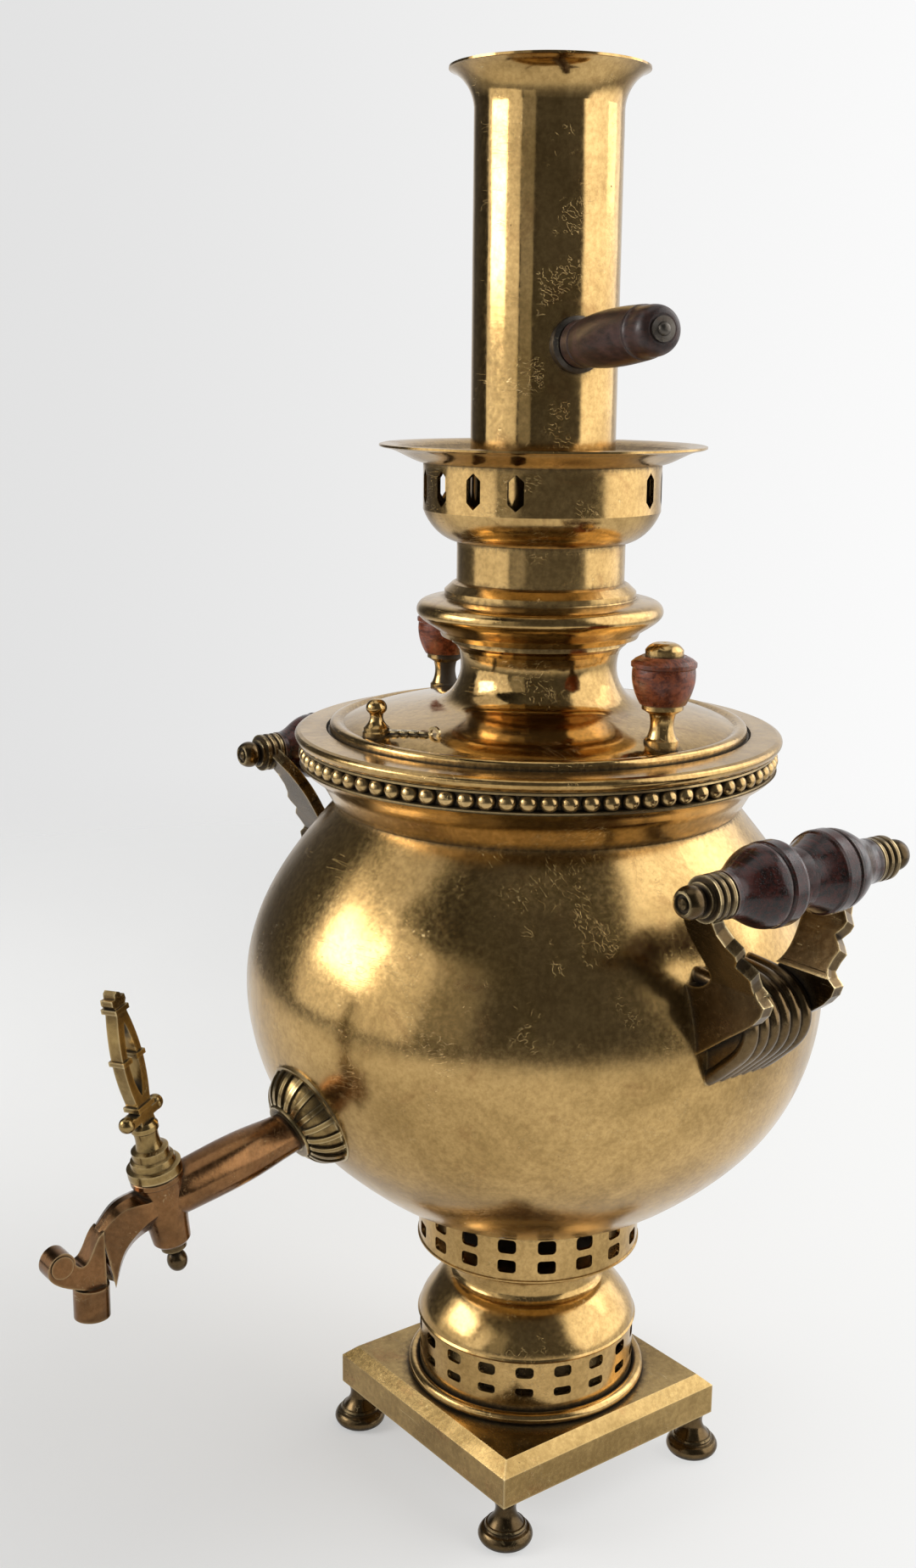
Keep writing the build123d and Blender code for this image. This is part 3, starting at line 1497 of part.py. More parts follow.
# tap_key: ground plug, turned stem and openwork handle, in one piece
tail = -barrel_depth - 4.0
key_across = flow_out.rotate(Axis((0, 0, 0), barrel_up), key_turn)
key_plane = Plane(origin=crossing, x_dir=key_across, z_dir=key_across.cross(barrel_up))
key_side = [(3.7, 32.0), (3.6, 40.0), (4.6, 46.0), (5.3, 53.0), (5.3, 60.0), (4.4, 68.0), (2.7, 76.0)]
key_window = [(0, 43.0), (1.6, 48.0), (2.6, 56.0), (2.1, 64.0), (0, 73.0)]
key_bands = [(39.0, 4.5), (58.5, 6.1), (78.0, 3.5)]
key_band_reach = 2.4
ball_radius = 3.0
ball_out = 8.2
ball_rise = 35.4
with BuildPart() as tap_key:
    with BuildSketch(barrel_section):
        with BuildLine():
            Polyline(
                (0, tail),
                (stud_radius, tail),
                (stud_radius, -barrel_depth - gap),
                (plug_slim, -barrel_depth),
                (plug_wide, barrel_top),
                (plug_wide, barrel_top + gap),
                (10.0, barrel_top + gap),
                (10.0, 14.5),
                (8.4, 15.0),
                (8.0, 17.4),
                (6.9, 18.0),
                (6.9, 21.2),
                (5.0, 21.9),
            )
            Spline((5.0, 21.9), (4.4, 25.0), (4.6, 28.6))
            Polyline((4.6, 28.6), (5.2, 29.2), (5.2, 31.0), (4.2, 32.4), (0, 32.4), (0, tail))
        make_face()
    revolve(axis=barrel_axis)
    with BuildSketch(key_plane):
        for hand in (-1, 1):
            with BuildLine():
                Line((0, key_side[0][1]), (hand * key_side[0][0], key_side[0][1]))
                Spline(*[(hand * out, up) for out, up in key_side])
                Polyline(
                    (hand * key_side[-1][0], key_side[-1][1]),
                    (hand * 2.5, 79.0),
                    (hand * 3.6, 80.6),
                    (hand * 3.4, 82.6),
                    (hand * 1.6, 82.4),
                    (hand * 1.3, key_height - 0.8),
                    (0, key_height),
                    (0, key_side[0][1]),
                )
            make_face()
        for hand in (-1, 1):
            with BuildLine():
                Spline(*[(hand * out, up) for out, up in key_window])
                Line(key_window[-1], key_window[0])
            make_face(mode=Mode.SUBTRACT)
        with Locations((0, ball_rise)):
            Rectangle(2 * ball_out, ball_radius)
    extrude(amount=key_thick / 2, both=True)
    for level, width in key_bands:
        with BuildSketch(key_plane):
            with Locations((width - key_band_reach, level), (key_band_reach - width, level)):
                Rectangle(2 * key_band_reach, 1.8)
        extrude(amount=key_thick / 2 + 0.8, both=True)
    for hand in (-1, 1):
        with Locations(crossing + key_across * (hand * ball_out) + barrel_up * ball_rise):
            Sphere(ball_radius)
    with BuildSketch(Plane(origin=crossing, x_dir=barrel_up, z_dir=(1, 0, 0))):
        Circle(tap_bore)
    extrude(amount=2 * plug_wide, both=True, mode=Mode.SUBTRACT)
save(tap_key.part, "tap_key")

# tap_tail_nut: washer and ball nut that hold the plug down
nut_top = -barrel_depth - gap
with BuildPart() as tap_tail_nut:
    with BuildSketch(barrel_section):
        with BuildLine():
            Polyline(
                (stud_radius, nut_top),
                (4.8, nut_top),
                (4.8, nut_top - 2.8),
                (3.6, nut_top - 3.6),
                (2.3, nut_top - 5.2),
            )
            Spline(
                (2.3, nut_top - 5.2),
                (3.8, nut_top - 8.8),
                (2.4, nut_top - 12.0),
                (0, nut_top - 12.8),
            )
            Polyline((0, nut_top - 12.8), (0, tail), (stud_radius, tail))
            Line((stud_radius, tail), (stud_radius, nut_top))
        make_face()
    revolve(axis=barrel_axis)
save(tap_tail_nut.part, "tap_tail_nut")
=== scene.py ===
"""The samovar's looks: aged metal and wood, a studio and the camera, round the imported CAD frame."""

import math

import bmesh
import bpy
from mathutils import Matrix, Vector

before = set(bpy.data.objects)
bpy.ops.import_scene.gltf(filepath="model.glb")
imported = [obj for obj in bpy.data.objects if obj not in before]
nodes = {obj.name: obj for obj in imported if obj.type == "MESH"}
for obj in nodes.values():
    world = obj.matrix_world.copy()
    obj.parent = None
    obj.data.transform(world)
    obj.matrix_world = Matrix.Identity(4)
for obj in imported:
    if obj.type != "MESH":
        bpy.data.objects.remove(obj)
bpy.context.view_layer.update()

MM = 0.001

# The camera: where it stands, how it is turned, and its lens.
CAMERA_AZIMUTH = 50.17
CAMERA_REACH = 707.4
CAMERA_HEIGHT = 459.6
CAMERA_YAW = -2.581
CAMERA_PITCH = 13.031
CAMERA_ROLL = 0.533
CAMERA_LENS = 40.97
SENSOR_WIDTH = 36.0


# ---------------------------------------------------------------- shader graphs


class Graph:
    """A material's or world's node tree, built with short calls; coordinates are in millimetres."""

    def __init__(self, owner):
        self.owner = owner
        owner.use_nodes = True
        self.tree = owner.node_tree
        self.tree.nodes.clear()

    def add(self, kind, inputs=None, **settings):
        node = self.tree.nodes.new(kind)
        for key, value in settings.items():
            setattr(node, key, value)
        for socket, value in (inputs or {}).items():
            self.feed(node.inputs[socket], value)
        return node

    def feed(self, socket, value):
        if isinstance(value, bpy.types.NodeSocket):
            self.tree.links.new(value, socket)
        else:
            socket.default_value = value

    def place(self):
        """Where a point is on the object, in millimetres."""
        coordinates = self.add("ShaderNodeTexCoord").outputs["Object"]
        inputs = {0: coordinates, "Scale": 1 / MM}
        return self.add("ShaderNodeVectorMath", inputs, operation="SCALE").outputs[0]

    def math(self, operation, a, b=0.0):
        return self.add("ShaderNodeMath", {0: a, 1: b}, operation=operation).outputs[0]

    def dot(self, a, b):
        inputs = {0: a, 1: b}
        return self.add("ShaderNodeVectorMath", inputs, operation="DOT_PRODUCT").outputs["Value"]

    def span(self, value, low, high, start=0.0, end=1.0, smooth=True):
        """value, moved from the span low to high to the span start to end."""
        kind = "SMOOTHSTEP" if smooth else "LINEAR"
        inputs = {"Value": value, "From Min": low, "From Max": high, "To Min": start, "To Max": end}
        return self.add("ShaderNodeMapRange", inputs, interpolation_type=kind).outputs[0]

    def ragged(self, value, noise, amount):
        """value, made uneven by a noise that swings by amount in all."""
        return self.math("ADD", value, self.math("MULTIPLY", self.math("SUBTRACT", noise, 0.5), amount))

    def turned(self, vector, angles=(0, 0, 0), stretch=(1, 1, 1)):
        inputs = {"Vector": vector, "Rotation": [math.radians(a) for a in angles], "Scale": stretch}
        return self.add("ShaderNodeMapping", inputs).outputs[0]

    def noise(self, vector, size, detail=4.0, roughness=0.55, distortion=0.0):
        """Cloudy noise whose features are about size millimetres across."""
        inputs = {"Vector": vector, "Scale": 1 / size, "Detail": detail,
                  "Roughness": roughness, "Distortion": distortion}
        return self.add("ShaderNodeTexNoise", inputs).outputs[0]

    def spots(self, vector, spacing, radius, share):
        """Round spots up to radius millimetres, in a share of the cells of that spacing."""
        cells = self.add("ShaderNodeTexVoronoi", {"Vector": vector, "Scale": 1 / spacing})
        chance = self.add("ShaderNodeSeparateColor", {0: cells.outputs["Color"]}).outputs[0]
        reach = self.span(chance, 1 - share, 1.0, 0.0, radius / spacing, smooth=False)
        inside = self.math("SUBTRACT", reach, cells.outputs["Distance"])
        return self.span(inside, 0.0, 0.25 * radius / spacing)

    def scratches(self, vector, angles, length, width, share):
        """Thin marks along one direction, where a second noise lets them show."""
        along = self.turned(vector, angles, (1 / length, 1 / width, 1 / width))
        ridge = self.math("ABSOLUTE", self.math("SUBTRACT", self.noise(along, 1.0, 1.0), 0.5))
        line = self.span(ridge, 0.0, 0.006, 1.0, 0.0)
        patches = self.noise(self.turned(vector, angles), 0.6 * length, 2.0)
        return self.math("MULTIPLY", line, self.span(patches, 1 - share, 1.04 - share))

    def openness(self, reach, samples, **settings):
        """1 in the open, lower within reach millimetres of other surfaces; inside, lower near outer edges."""
        return self.add("ShaderNodeAmbientOcclusion", {"Distance": reach * MM}, samples=samples,
                        **settings).outputs["AO"]

    def mix(self, factor, a, b, blend="MIX"):
        """Colour a, turned to colour b by factor."""
        node = self.add("ShaderNodeMix", data_type="RGBA", blend_type=blend)
        for socket, value in ((0, factor), (6, a), (7, b)):
            plain = isinstance(value, (float, bpy.types.NodeSocket))
            self.feed(node.inputs[socket], value if plain else (*value, 1.0))
        return node.outputs[2]

    def blend(self, factor, a, b):
        """Number a, turned to number b by factor."""
        return self.add("ShaderNodeMix", {0: factor, 2: a, 3: b}, data_type="FLOAT").outputs[0]

    def bump(self, height, depth, under=None):
        """Raises the surface by up to depth millimetres where height is 1."""
        inputs = {"Height": height, "Distance": depth * MM, "Strength": 1.0}
        if under is not None:
            inputs["Normal"] = under
        return self.add("ShaderNodeBump", inputs).outputs[0]

    def finish(self, shader):
        is_world = isinstance(self.owner, bpy.types.World)
        kind = "ShaderNodeOutputWorld" if is_world else "ShaderNodeOutputMaterial"
        self.tree.links.new(shader, self.add(kind).inputs["Surface"])
        return self.owner


# ---------------------------------------------------------------- aged metal

# sizes in millimetres
CLOUD_SIZE = 38
STAIN_SIZE = 26
MOTTLE_SIZE = 2.2
SPOTTED_SIZE = 60                 # patches that the spots keep to
DENT_SIZE = 34
GRAIN_SIZE = 1.6
RING_SIZE = 0.7                   # lathe marks
LARGE_SPOTS = {"spacing": 17, "radius": 1.3, "share": 0.25}
SMALL_SPOTS = {"spacing": 5.5, "radius": 0.5}
SCRATCHES = (
    {"angles": (20, 35, 50), "length": 34, "width": 2.4, "share": 0.42},
    {"angles": (-50, 10, -35), "length": 26, "width": 2.0, "share": 0.4},
)
EDGE_REACH = 1.1
GRAIN_DEPTH = 0.012
RING_DEPTH = 0.006
PIT_DEPTH = -0.06

# colours
# near-black for soot and painted shade on inner faces
SOOT_AND_SHADE = (0.020, 0.016, 0.013)
# near-black for pits, and for grime with painted shade in creases and where parts meet
GRIME_AND_SHADE = (0.016, 0.011, 0.006)
# pale rubbed brass on outer edges, which also paints their highlight
RUBBED_AND_HIGHLIGHT = (0.78, 0.62, 0.34)
SCRATCHED = (0.9, 0.74, 0.42)
MOTTLE_DARK = (0.72, 0.68, 0.62)
MOTTLE_LIGHT = (1.1, 1.1, 1.08)

# how rough and how metallic grime with painted crease shade, rubbed edges with painted highlights, and soot
# with painted inner shade are
GRIME_AND_SHADE_ROUGH = 0.55
GRIME_AND_SHADE_METALLIC = 0.55
RUBBED_AND_HIGHLIGHT_ROUGH = 0.16
SOOT_AND_SHADE_ROUGH = 0.7
SOOT_AND_SHADE_METALLIC = 0.2


class Finish:
    """A surface on its way to a shader: its colour, how rough it is and how metallic."""

    def __init__(self, graph, colour, rough, metallic):
        self.graph = graph
        self.colour = colour
        self.rough = rough
        self.metallic = metallic

    def cover(self, mask, colour, rough, metallic, strength=1.0):
        """Lets another surface take over by the mask; strength only holds back its colour."""
        g = self.graph
        self.colour = g.mix(g.math("MULTIPLY", mask, strength), self.colour, colour)
        self.rough = g.blend(mask, self.rough, rough)
        self.metallic = g.blend(mask, self.metallic, metallic)


def metal(name, light, deep, rust, gloss=0.12, turned=False, crease=3.0, dents=0.5, grain=0.5, edge_wear_and_highlight=0.0,
          speckle=0.3):
    """Old worked metal: cloudy patina, brown stains, pits, scratches, rubbed edges that also serve as painted
    highlights, and grime in its creases deepened as painted shade.
    """
    g = Graph(bpy.data.materials.new(name))
    at = g.place()
    cloud = g.span(g.noise(at, CLOUD_SIZE, 6, 0.62, 0.7), 0.34, 0.68)
    mottle = g.noise(at, MOTTLE_SIZE, 6, 0.7)
    stain = g.span(g.noise(at, STAIN_SIZE, 7, 0.66, 1.2), 0.55, 0.74)
    speck = g.math("MAXIMUM", g.spots(at, **LARGE_SPOTS), g.spots(at, share=speckle, **SMALL_SPOTS))
    blotch = g.math("MULTIPLY", speck, g.span(g.noise(at, SPOTTED_SIZE, 2), 0.42, 0.62))
    cuts = g.math("MAXIMUM", *(g.scratches(at, **marks) for marks in SCRATCHES))
    # darker within crease millimetres of other surfaces: real grime and oxide, deepened as painted shade
    crease_grime_and_shade = g.span(g.ragged(g.openness(crease, 6), mottle, 0.5), 0.46, 0.92, 1.0, 0.0)

    colour = g.mix(cloud, light, deep)
    colour = g.mix(g.math("MULTIPLY", stain, 0.5), colour, rust)
    colour = g.mix(0.8, colour, g.mix(g.span(mottle, 0.3, 0.7), MOTTLE_DARK, MOTTLE_LIGHT), "MULTIPLY")
    colour = g.mix(g.math("MULTIPLY", blotch, 0.85), colour, GRIME_AND_SHADE)
    colour = g.mix(g.math("MULTIPLY", cuts, 0.35), colour, SCRATCHED)
    # painted shade with grime: creases and joints turn near-black
    colour = g.mix(g.math("MULTIPLY", crease_grime_and_shade, 0.94), colour, GRIME_AND_SHADE)

    rough = g.math("ADD", gloss, g.math("MULTIPLY", cloud, 0.04))
    rough = g.math("ADD", rough, g.math("MULTIPLY", g.span(mottle, 0.35, 0.75), 0.07))
    rough = g.math("ADD", rough, g.math("MULTIPLY", stain, 0.07))
    rough = g.blend(g.math("MAXIMUM", crease_grime_and_shade, blotch), rough, GRIME_AND_SHADE_ROUGH)
    surface = Finish(g, colour, rough, g.blend(crease_grime_and_shade, 1.0, GRIME_AND_SHADE_METALLIC))

    if edge_wear_and_highlight:
        # outer edges turn pale and glossy: rubbed wear, and a painted highlight along them
        edge = g.openness(EDGE_REACH, 4, inside=True, only_local=True)
        edge = g.span(g.ragged(edge, mottle, 0.3), 0.5, 0.85, 1.0, 0.0)
        surface.cover(g.math("MULTIPLY", edge, edge_wear_and_highlight), RUBBED_AND_HIGHLIGHT, RUBBED_AND_HIGHLIGHT_ROUGH, 1.0)

    normal = g.bump(g.noise(at, DENT_SIZE, 2, 0.4), dents)
    normal = g.bump(g.noise(at, GRAIN_SIZE, 3, 0.6), GRAIN_DEPTH * grain, normal)
    if turned:
        parts = g.add("ShaderNodeSeparateXYZ", {0: at}).outputs
        # inner faces blackened: soot, and painted shade
        soot_and_shade_inside(surface, parts, mottle)
        normal = lathe_rings(g, parts, normal)
    normal = g.bump(g.math("MAXIMUM", blotch, g.math("MULTIPLY", cuts, 0.5)), PIT_DEPTH, normal)

    shader = g.add("ShaderNodeBsdfPrincipled", {
        "Base Color": surface.colour, "Metallic": surface.metallic,
        "Roughness": surface.rough, "Normal": normal})
    return g.finish(shader.outputs[0])


def soot_and_shade_inside(surface, parts, mottle):
    """Blackens the faces of a turned piece that look toward its axis: soot, and painted shade inside the piece.
    """
    g = surface.graph
    flat = g.add("ShaderNodeCombineXYZ", {0: parts[0], 1: parts[1]}).outputs[0]
    outward = g.add("ShaderNodeVectorMath", {0: flat}, operation="NORMALIZE").outputs[0]
    facing = g.dot(g.add("ShaderNodeNewGeometry").outputs["True Normal"], outward)
    inner = g.span(g.ragged(facing, mottle, 0.1), -0.55, -0.35, 1.0, 0.0)
    surface.cover(inner, SOOT_AND_SHADE, SOOT_AND_SHADE_ROUGH, SOOT_AND_SHADE_METALLIC, 0.93)


def lathe_rings(g, parts, normal):
    """Fine rings round the upright axis."""
    squares = g.math("ADD", g.math("POWER", parts[0], 2.0), g.math("POWER", parts[1], 2.0))
    rings = g.add("ShaderNodeCombineXYZ", {0: g.math("SQRT", squares), 2: parts[2]}).outputs[0]
    return g.bump(g.noise(rings, RING_SIZE, 3, 0.7), RING_DEPTH, normal)


# ---------------------------------------------------------------- turned wood

GRAIN_STRETCH = 0.12
PORE_STRETCH = 0.08
CREASE_REACH = 2.5
RIM_REACH = 1.0
# near-black for grime and painted shade in the grooves
CREASE_COLOUR = (0.012, 0.008, 0.006)
RIM_COLOUR = (0.30, 0.21, 0.15)


def wood(name, dark, warm, along, gloss=0.3):
    """Turned, varnished and worn wood whose grain runs along one direction, with grime and painted shade in its
    creases.
    """
    g = Graph(bpy.data.materials.new(name))
    at = g.place()
    turn = [math.degrees(a) for a in Vector(along).to_track_quat("X", "Z").inverted().to_euler()]
    grain = g.noise(g.turned(at, turn, (GRAIN_STRETCH, 1.0, 1.0)), 1.5, 6, 0.65, 0.4)
    pores = g.span(g.noise(g.turned(at, turn, (PORE_STRETCH, 1.0, 1.0)), 0.35, 2, 0.5), 0.6, 0.72)
    worn = g.span(g.noise(at, 9, 5, 0.6, 0.5), 0.46, 0.7)
    crease_grime_and_shade = g.span(g.openness(CREASE_REACH, 6), 0.35, 0.85, 1.0, 0.0)
    edge = g.openness(RIM_REACH, 4, inside=True, only_local=True)
    edge = g.span(g.ragged(edge, grain, 0.5), 0.5, 0.86, 1.0, 0.0)

    colour = g.mix(g.span(grain, 0.38, 0.66), dark, warm)
    colour = g.mix(g.math("MULTIPLY", worn, 0.45), colour, [min(1.0, 1.9 * v) for v in warm])
    colour = g.mix(g.math("MULTIPLY", pores, 0.7), colour, [0.35 * v for v in dark])
    # painted shade with grime: near-black in the grooves between rings
    colour = g.mix(g.math("MULTIPLY", crease_grime_and_shade, 0.85), colour, CREASE_COLOUR)
    colour = g.mix(g.math("MULTIPLY", edge, 0.75), colour, RIM_COLOUR)

    normal = g.bump(grain, 0.05)
    normal = g.bump(pores, -0.05, normal)
    normal = g.bump(g.noise(at, 6, 3, 0.5), 0.12, normal)
    shader = g.add("ShaderNodeBsdfPrincipled", {
        "Base Color": colour, "Roughness": g.math("ADD", gloss, g.math("MULTIPLY", worn, 0.16)),
        "Normal": normal, "Specular IOR Level": 0.35, "Coat Weight": 0.1, "Coat Roughness": 0.15})
    return g.finish(shader.outputs[0])


# ---------------------------------------------------------------- the materials and what wears them

GOLD = (0.58, 0.385, 0.155)
OLIVE = (0.41, 0.265, 0.10)
BROWN = (0.30, 0.15, 0.055)
PATINA = (GOLD, OLIVE, BROWN)

GRIP_AZIMUTH = math.radians(75)
GRIP_RISE = math.radians(4)
pipe_grip_axis = (
    math.cos(GRIP_AZIMUTH) * math.cos(GRIP_RISE),
    math.sin(GRIP_AZIMUTH) * math.cos(GRIP_RISE),
    math.sin(GRIP_RISE),
)

globe_brass = metal("globe_brass", *PATINA, gloss=0.16, turned=True)
pipe_brass = metal("pipe_brass", *PATINA, gloss=0.08, turned=True)
turned_brass = metal("turned_brass", *PATINA, gloss=0.14, turned=True, dents=0.2)
cast_brass = metal("cast_brass", (0.36, 0.25, 0.10), (0.17, 0.11, 0.045), (0.18, 0.08, 0.03),
                   gloss=0.18, crease=4.0, dents=0.3, grain=2.0, edge_wear_and_highlight=0.6)
dark_brass = metal("dark_brass", (0.15, 0.10, 0.048), (0.065, 0.044, 0.022), (0.09, 0.042, 0.02),
                   gloss=0.2, crease=5.0, dents=0.3, grain=2.0, edge_wear_and_highlight=0.7)
bead_brass = metal("bead_brass", (0.60, 0.42, 0.19), (0.42, 0.28, 0.12), (0.26, 0.12, 0.045),
                   gloss=0.16, crease=2.8, dents=0.2, grain=1.5, edge_wear_and_highlight=0.3)
collar_brass = metal("collar_brass", *PATINA, gloss=0.14, turned=True, crease=6.5, dents=0.2)
plate_brass = metal("plate_brass", (0.44, 0.30, 0.12), (0.29, 0.19, 0.07), (0.34, 0.15, 0.06),
                    gloss=0.2, crease=6.0, dents=0.3, grain=2.5, edge_wear_and_highlight=0.65, speckle=0.9)
tap_bronze = metal("tap_bronze", (0.25, 0.125, 0.052), (0.10, 0.056, 0.027), (0.17, 0.065, 0.024),
                   gloss=0.14, crease=3.4, dents=0.3, grain=1.5, edge_wear_and_highlight=0.3)
tube_brass = metal("sooted_brass", (0.24, 0.17, 0.08), (0.13, 0.09, 0.05), (0.08, 0.05, 0.035), gloss=0.42)
iron = metal("dark_iron", (0.14, 0.125, 0.11), (0.08, 0.07, 0.06), (0.12, 0.06, 0.035),
             gloss=0.38, crease=1.6, grain=2.0)
grate_iron = metal("grate_iron", (0.11, 0.10, 0.09), (0.05, 0.045, 0.04), (0.13, 0.06, 0.03),
                   gloss=0.6, grain=4.0)
handle_wood = wood("handle_wood", (0.010, 0.007, 0.006), (0.060, 0.014, 0.010), (0, 1, 0), 0.16)
pipe_grip_wood = wood("pipe_grip_wood", (0.024, 0.013, 0.011), (0.055, 0.024, 0.018), pipe_grip_axis, 0.36)
knob_wood = wood("knob_wood", (0.09, 0.02, 0.008), (0.27, 0.07, 0.025), (0, 0, 1), 0.26)

COATS = {
    globe_brass: ["body_shell", "pedestal_neck"],
    pipe_brass: ["pipe_tube", "lid"],
    collar_brass: ["body_collar", "shoulder_ring"],
    turned_brass: ["lid_spigot", "lid_moulding", "crown_sleeve", "crown_gallery", "crown_dish",
                   "lower_gallery", "upper_gallery", "base_ring", "knob_stem_right", "knob_stem_left",
                   "knob_button_right", "knob_button_left", "vent_seat", "vent_cap"],
    bead_brass: ["bead_ring"],
    cast_brass: ["tap_key", "tap_rosette"],
    dark_brass: ["handle_bracket_right", "handle_bracket_left", "handle_finials_right",
                 "handle_finials_left", "tap_tail_nut", "vent_chain", "chain_staple", "foot_front_right",
                 "foot_front_left", "foot_back_right", "foot_back_left"],
    plate_brass: ["base_plate"],
    tap_bronze: ["tap_body", "tap_nozzle"],
    tube_brass: ["fire_tube"],
    iron: ["pipe_grip_flange", "pipe_grip_rivet", "handle_rod_right", "handle_rod_left", "foot_nuts"],
    grate_iron: ["fire_grate"],
    handle_wood: ["handle_grip_right", "handle_grip_left"],
    pipe_grip_wood: ["pipe_grip"],
    knob_wood: ["knob_bowl_right", "knob_bowl_left"],
}


def coat(thing, material):
    thing.data.materials.clear()
    thing.data.materials.append(material)


for material, members in COATS.items():
    for member in members:
        coat(nodes[member], material)


# ---------------------------------------------------------------- studio

LIGHT_AIM = Vector((0, 0, 0.28))
WHITE = (1.0, 1.0, 1.0, 1.0)
ROOM_DARK = 0.10                  # the unlit room behind the camera
ROOM_BEHIND = 0.85                # the pale backdrop behind the object
ROOM_LEFT = 0.10                  # the share of it that stays far to the left
CEILING = 1.0
WINDOW_AT = (98, 20)              # azimuth and elevation
WINDOW_BRIGHT = 2.1
ROOM_BELOW = 0.42
BACKDROP_LEFT = 0.745
BACKDROP_RIGHT = 0.985

FLOOR_NEAR = 600.0
FLOOR_FAR = 1500.0
FLOOR_SIDES = 96
FLOOR_SINK = -0.0002
FLOOR_CLOUDS = 160
FLOOR_DARK = (0.79, 0.79, 0.785)
FLOOR_LIGHT = (0.82, 0.82, 0.813)
FLOOR_GLOW = 0.97
GLOW_REACH = 260                  # half the span over which the glow grows from left to right
# painted light: the floor's share of glow on its left and on its right
GLOW_LEFT = 0.18
GLOW_RIGHT = 0.9

# azimuth, elevation, distance, width, height, radiance
SOFTBOXES = {
    "key_wide": (-72, 14, 1.5, 1.7, 1.25, 1.25),
    "key_core": (-80, 20, 1.4, 0.7, 0.5, 6.0),
    "key_high": (-90, 50, 1.5, 0.9, 0.7, 0.9),
    "key_fade": (-30, 14, 1.5, 0.5, 1.1, 0.36),
    "rim": (112, 30, 1.6, 0.6, 1.0, 1.5),
}


def heading(azimuth, elevation=0.0):
    """The direction at an azimuth from the camera's side, in degrees, and an elevation."""
    a, e = math.radians(CAMERA_AZIMUTH + azimuth), math.radians(elevation)
    return Vector((math.sin(a) * math.cos(e), -math.cos(a) * math.cos(e), math.sin(e)))


def make_camera():
    data = bpy.data.cameras.new("camera")
    camera = bpy.data.objects.new("camera", data)
    bpy.context.scene.collection.objects.link(camera)
    data.lens = CAMERA_LENS
    data.sensor_width = SENSOR_WIDTH
    data.clip_start = 0.02
    data.clip_end = 60.0
    yaw = math.radians(CAMERA_AZIMUTH - CAMERA_YAW)
    pitch = math.radians(CAMERA_PITCH)
    roll = math.radians(CAMERA_ROLL)
    ahead = Vector((-math.sin(yaw) * math.cos(pitch), math.cos(yaw) * math.cos(pitch), -math.sin(pitch)))
    level = ahead.cross(Vector((0, 0, 1))).normalized()
    upright = level.cross(ahead)
    right = math.cos(roll) * level + math.sin(roll) * upright
    up = math.cos(roll) * upright - math.sin(roll) * level
    turn = Matrix((right, up, -ahead)).transposed().to_4x4()
    place = heading(0) * CAMERA_REACH * MM + Vector((0, 0, CAMERA_HEIGHT * MM))
    camera.matrix_world = Matrix.Translation(place) @ turn
    bpy.context.scene.camera = camera


def softbox(name, azimuth, elevation, distance, width, height, radiance):
    """A flat lamp that faces the object; radiance is how bright its face looks."""
    data = bpy.data.lights.new(name, "AREA")
    data.shape = "RECTANGLE"
    data.size = width
    data.size_y = height
    data.energy = radiance * math.pi * width * height
    lamp = bpy.data.objects.new(name, data)
    bpy.context.scene.collection.objects.link(lamp)
    lamp.location = LIGHT_AIM + heading(azimuth, elevation) * distance
    lamp.rotation_euler = heading(azimuth, elevation).to_track_quat("Z", "Y").to_euler()
    lamp.visible_camera = False


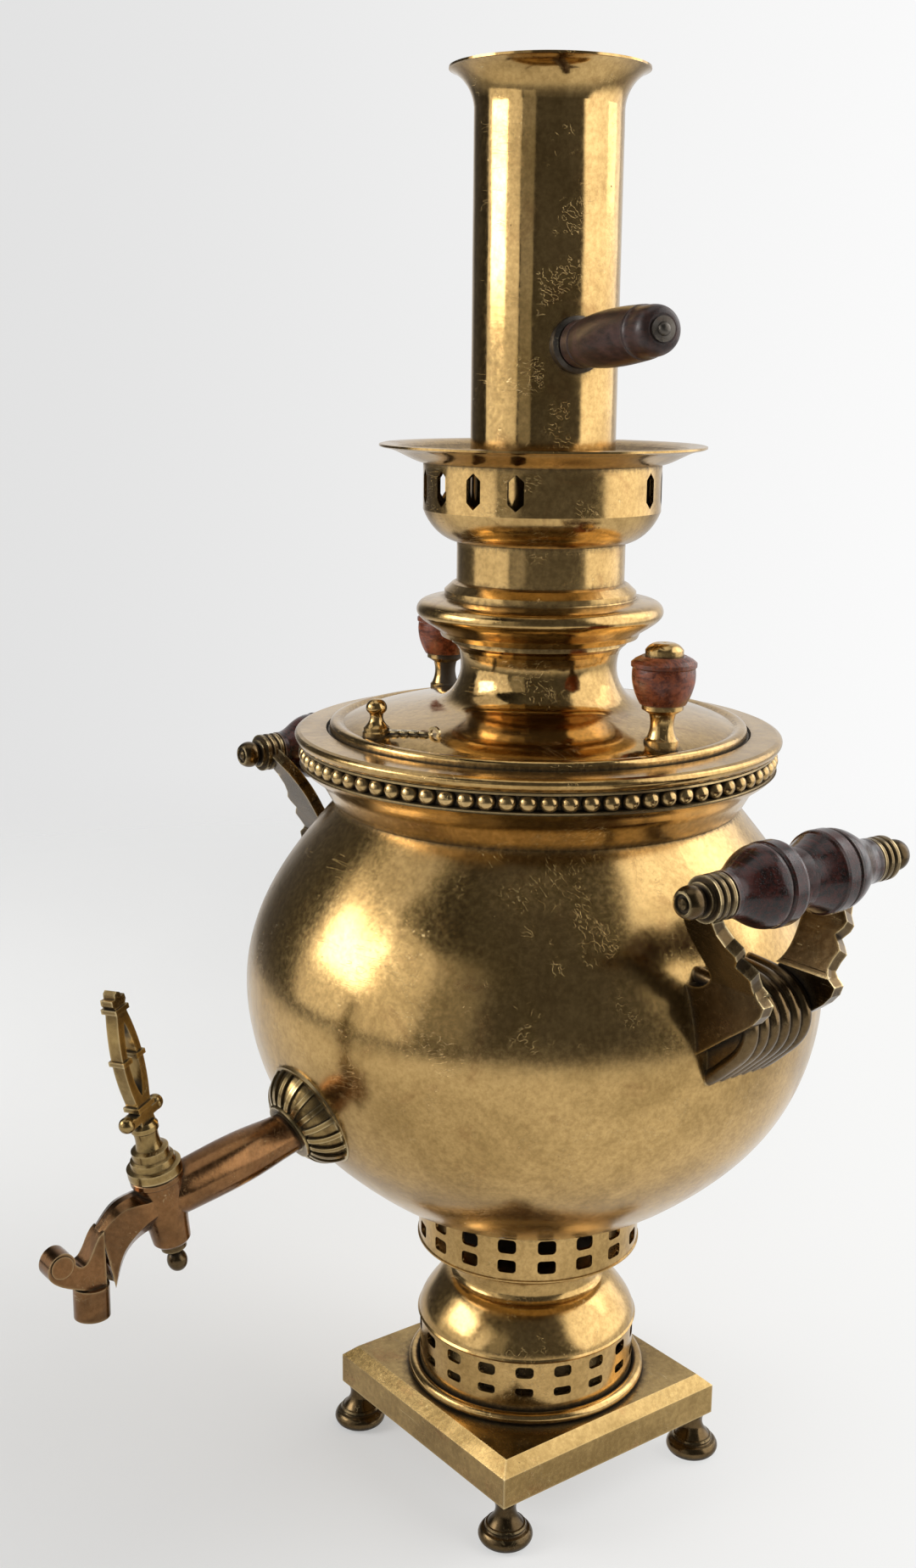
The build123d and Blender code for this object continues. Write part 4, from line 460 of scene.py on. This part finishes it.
def make_world():
    """A dim room with a pale backdrop, a bright ceiling and a window; the camera sees the backdrop."""
    world = bpy.data.worlds.new("studio")
    bpy.context.scene.world = world
    g = Graph(world)
    way = g.add("ShaderNodeTexCoord").outputs["Generated"]
    rise = g.add("ShaderNodeSeparateXYZ", {0: way}).outputs[2]
    behind = g.dot(way, -heading(0))
    side = g.dot(way, heading(90))
    room = g.span(behind, -0.1, 0.9, ROOM_DARK, ROOM_BEHIND)
    room = g.math("MULTIPLY", room, g.span(side, -0.6, -0.15, ROOM_LEFT, 1.0))
    room = g.blend(g.span(rise, 0.90, 0.98), room, CEILING)
    room = g.blend(g.span(g.dot(way, heading(*WINDOW_AT)), 0.70, 0.77), room, WINDOW_BRIGHT)
    room = g.blend(g.span(rise, -0.01, -0.45), room, ROOM_BELOW)
    backdrop = g.span(side, -0.42, 0.36, BACKDROP_LEFT, BACKDROP_RIGHT)
    seen = g.add("ShaderNodeLightPath").outputs["Is Camera Ray"]
    strength = g.blend(seen, room, backdrop)
    g.finish(g.add("ShaderNodeBackground", {"Color": WHITE, "Strength": strength}).outputs[0])


def make_floor():
    """A wide pale floor that thins out into the backdrop; where the camera or a reflection sees it, it glows
    with painted light that grows brighter to the right.
    """
    mesh = bpy.data.meshes.new("floor")
    shape = bmesh.new()
    bmesh.ops.create_circle(shape, cap_ends=True, segments=FLOOR_SIDES, radius=FLOOR_FAR * MM)
    shape.to_mesh(mesh)
    shape.free()
    floor = bpy.data.objects.new("floor", mesh)
    bpy.context.scene.collection.objects.link(floor)
    floor.location.z = FLOOR_SINK
    g = Graph(bpy.data.materials.new("floor"))
    at = g.place()
    tone = g.mix(g.noise(at, FLOOR_CLOUDS, 3), FLOOR_DARK, FLOOR_LIGHT)
    paper = g.add("ShaderNodeBsdfDiffuse", {"Color": tone, "Roughness": 0.6}).outputs[0]
    glow = g.add("ShaderNodeEmission", {"Color": (1.0, 1.0, 0.99, 1.0), "Strength": FLOOR_GLOW}).outputs[0]
    rays = g.add("ShaderNodeLightPath").outputs
    mirrored = g.math("MAXIMUM", rays["Is Glossy Ray"], rays["Is Transmission Ray"])
    seen = g.math("MAXIMUM", rays["Is Camera Ray"], mirrored)
    # painted light: the floor glows more towards the right, as if more light fell there
    share = g.span(g.dot(at, heading(90)), -GLOW_REACH, GLOW_REACH, GLOW_LEFT, GLOW_RIGHT)
    paper = g.add("ShaderNodeMixShader", {0: g.math("MULTIPLY", seen, share), 1: paper, 2: glow}).outputs[0]
    gone = g.add("ShaderNodeBsdfTransparent").outputs[0]
    reach = g.add("ShaderNodeVectorMath", {0: at}, operation="LENGTH").outputs["Value"]
    edge = g.span(reach, FLOOR_NEAR, FLOOR_FAR - 40)
    mixed = g.add("ShaderNodeMixShader", {0: edge, 1: paper, 2: gone})
    coat(floor, g.finish(mixed.outputs[0]))


make_camera()
make_world()
make_floor()
for lamp_name, setting in SOFTBOXES.items():
    softbox(lamp_name, *setting)

scene = bpy.context.scene
scene.view_settings.view_transform = "Standard"
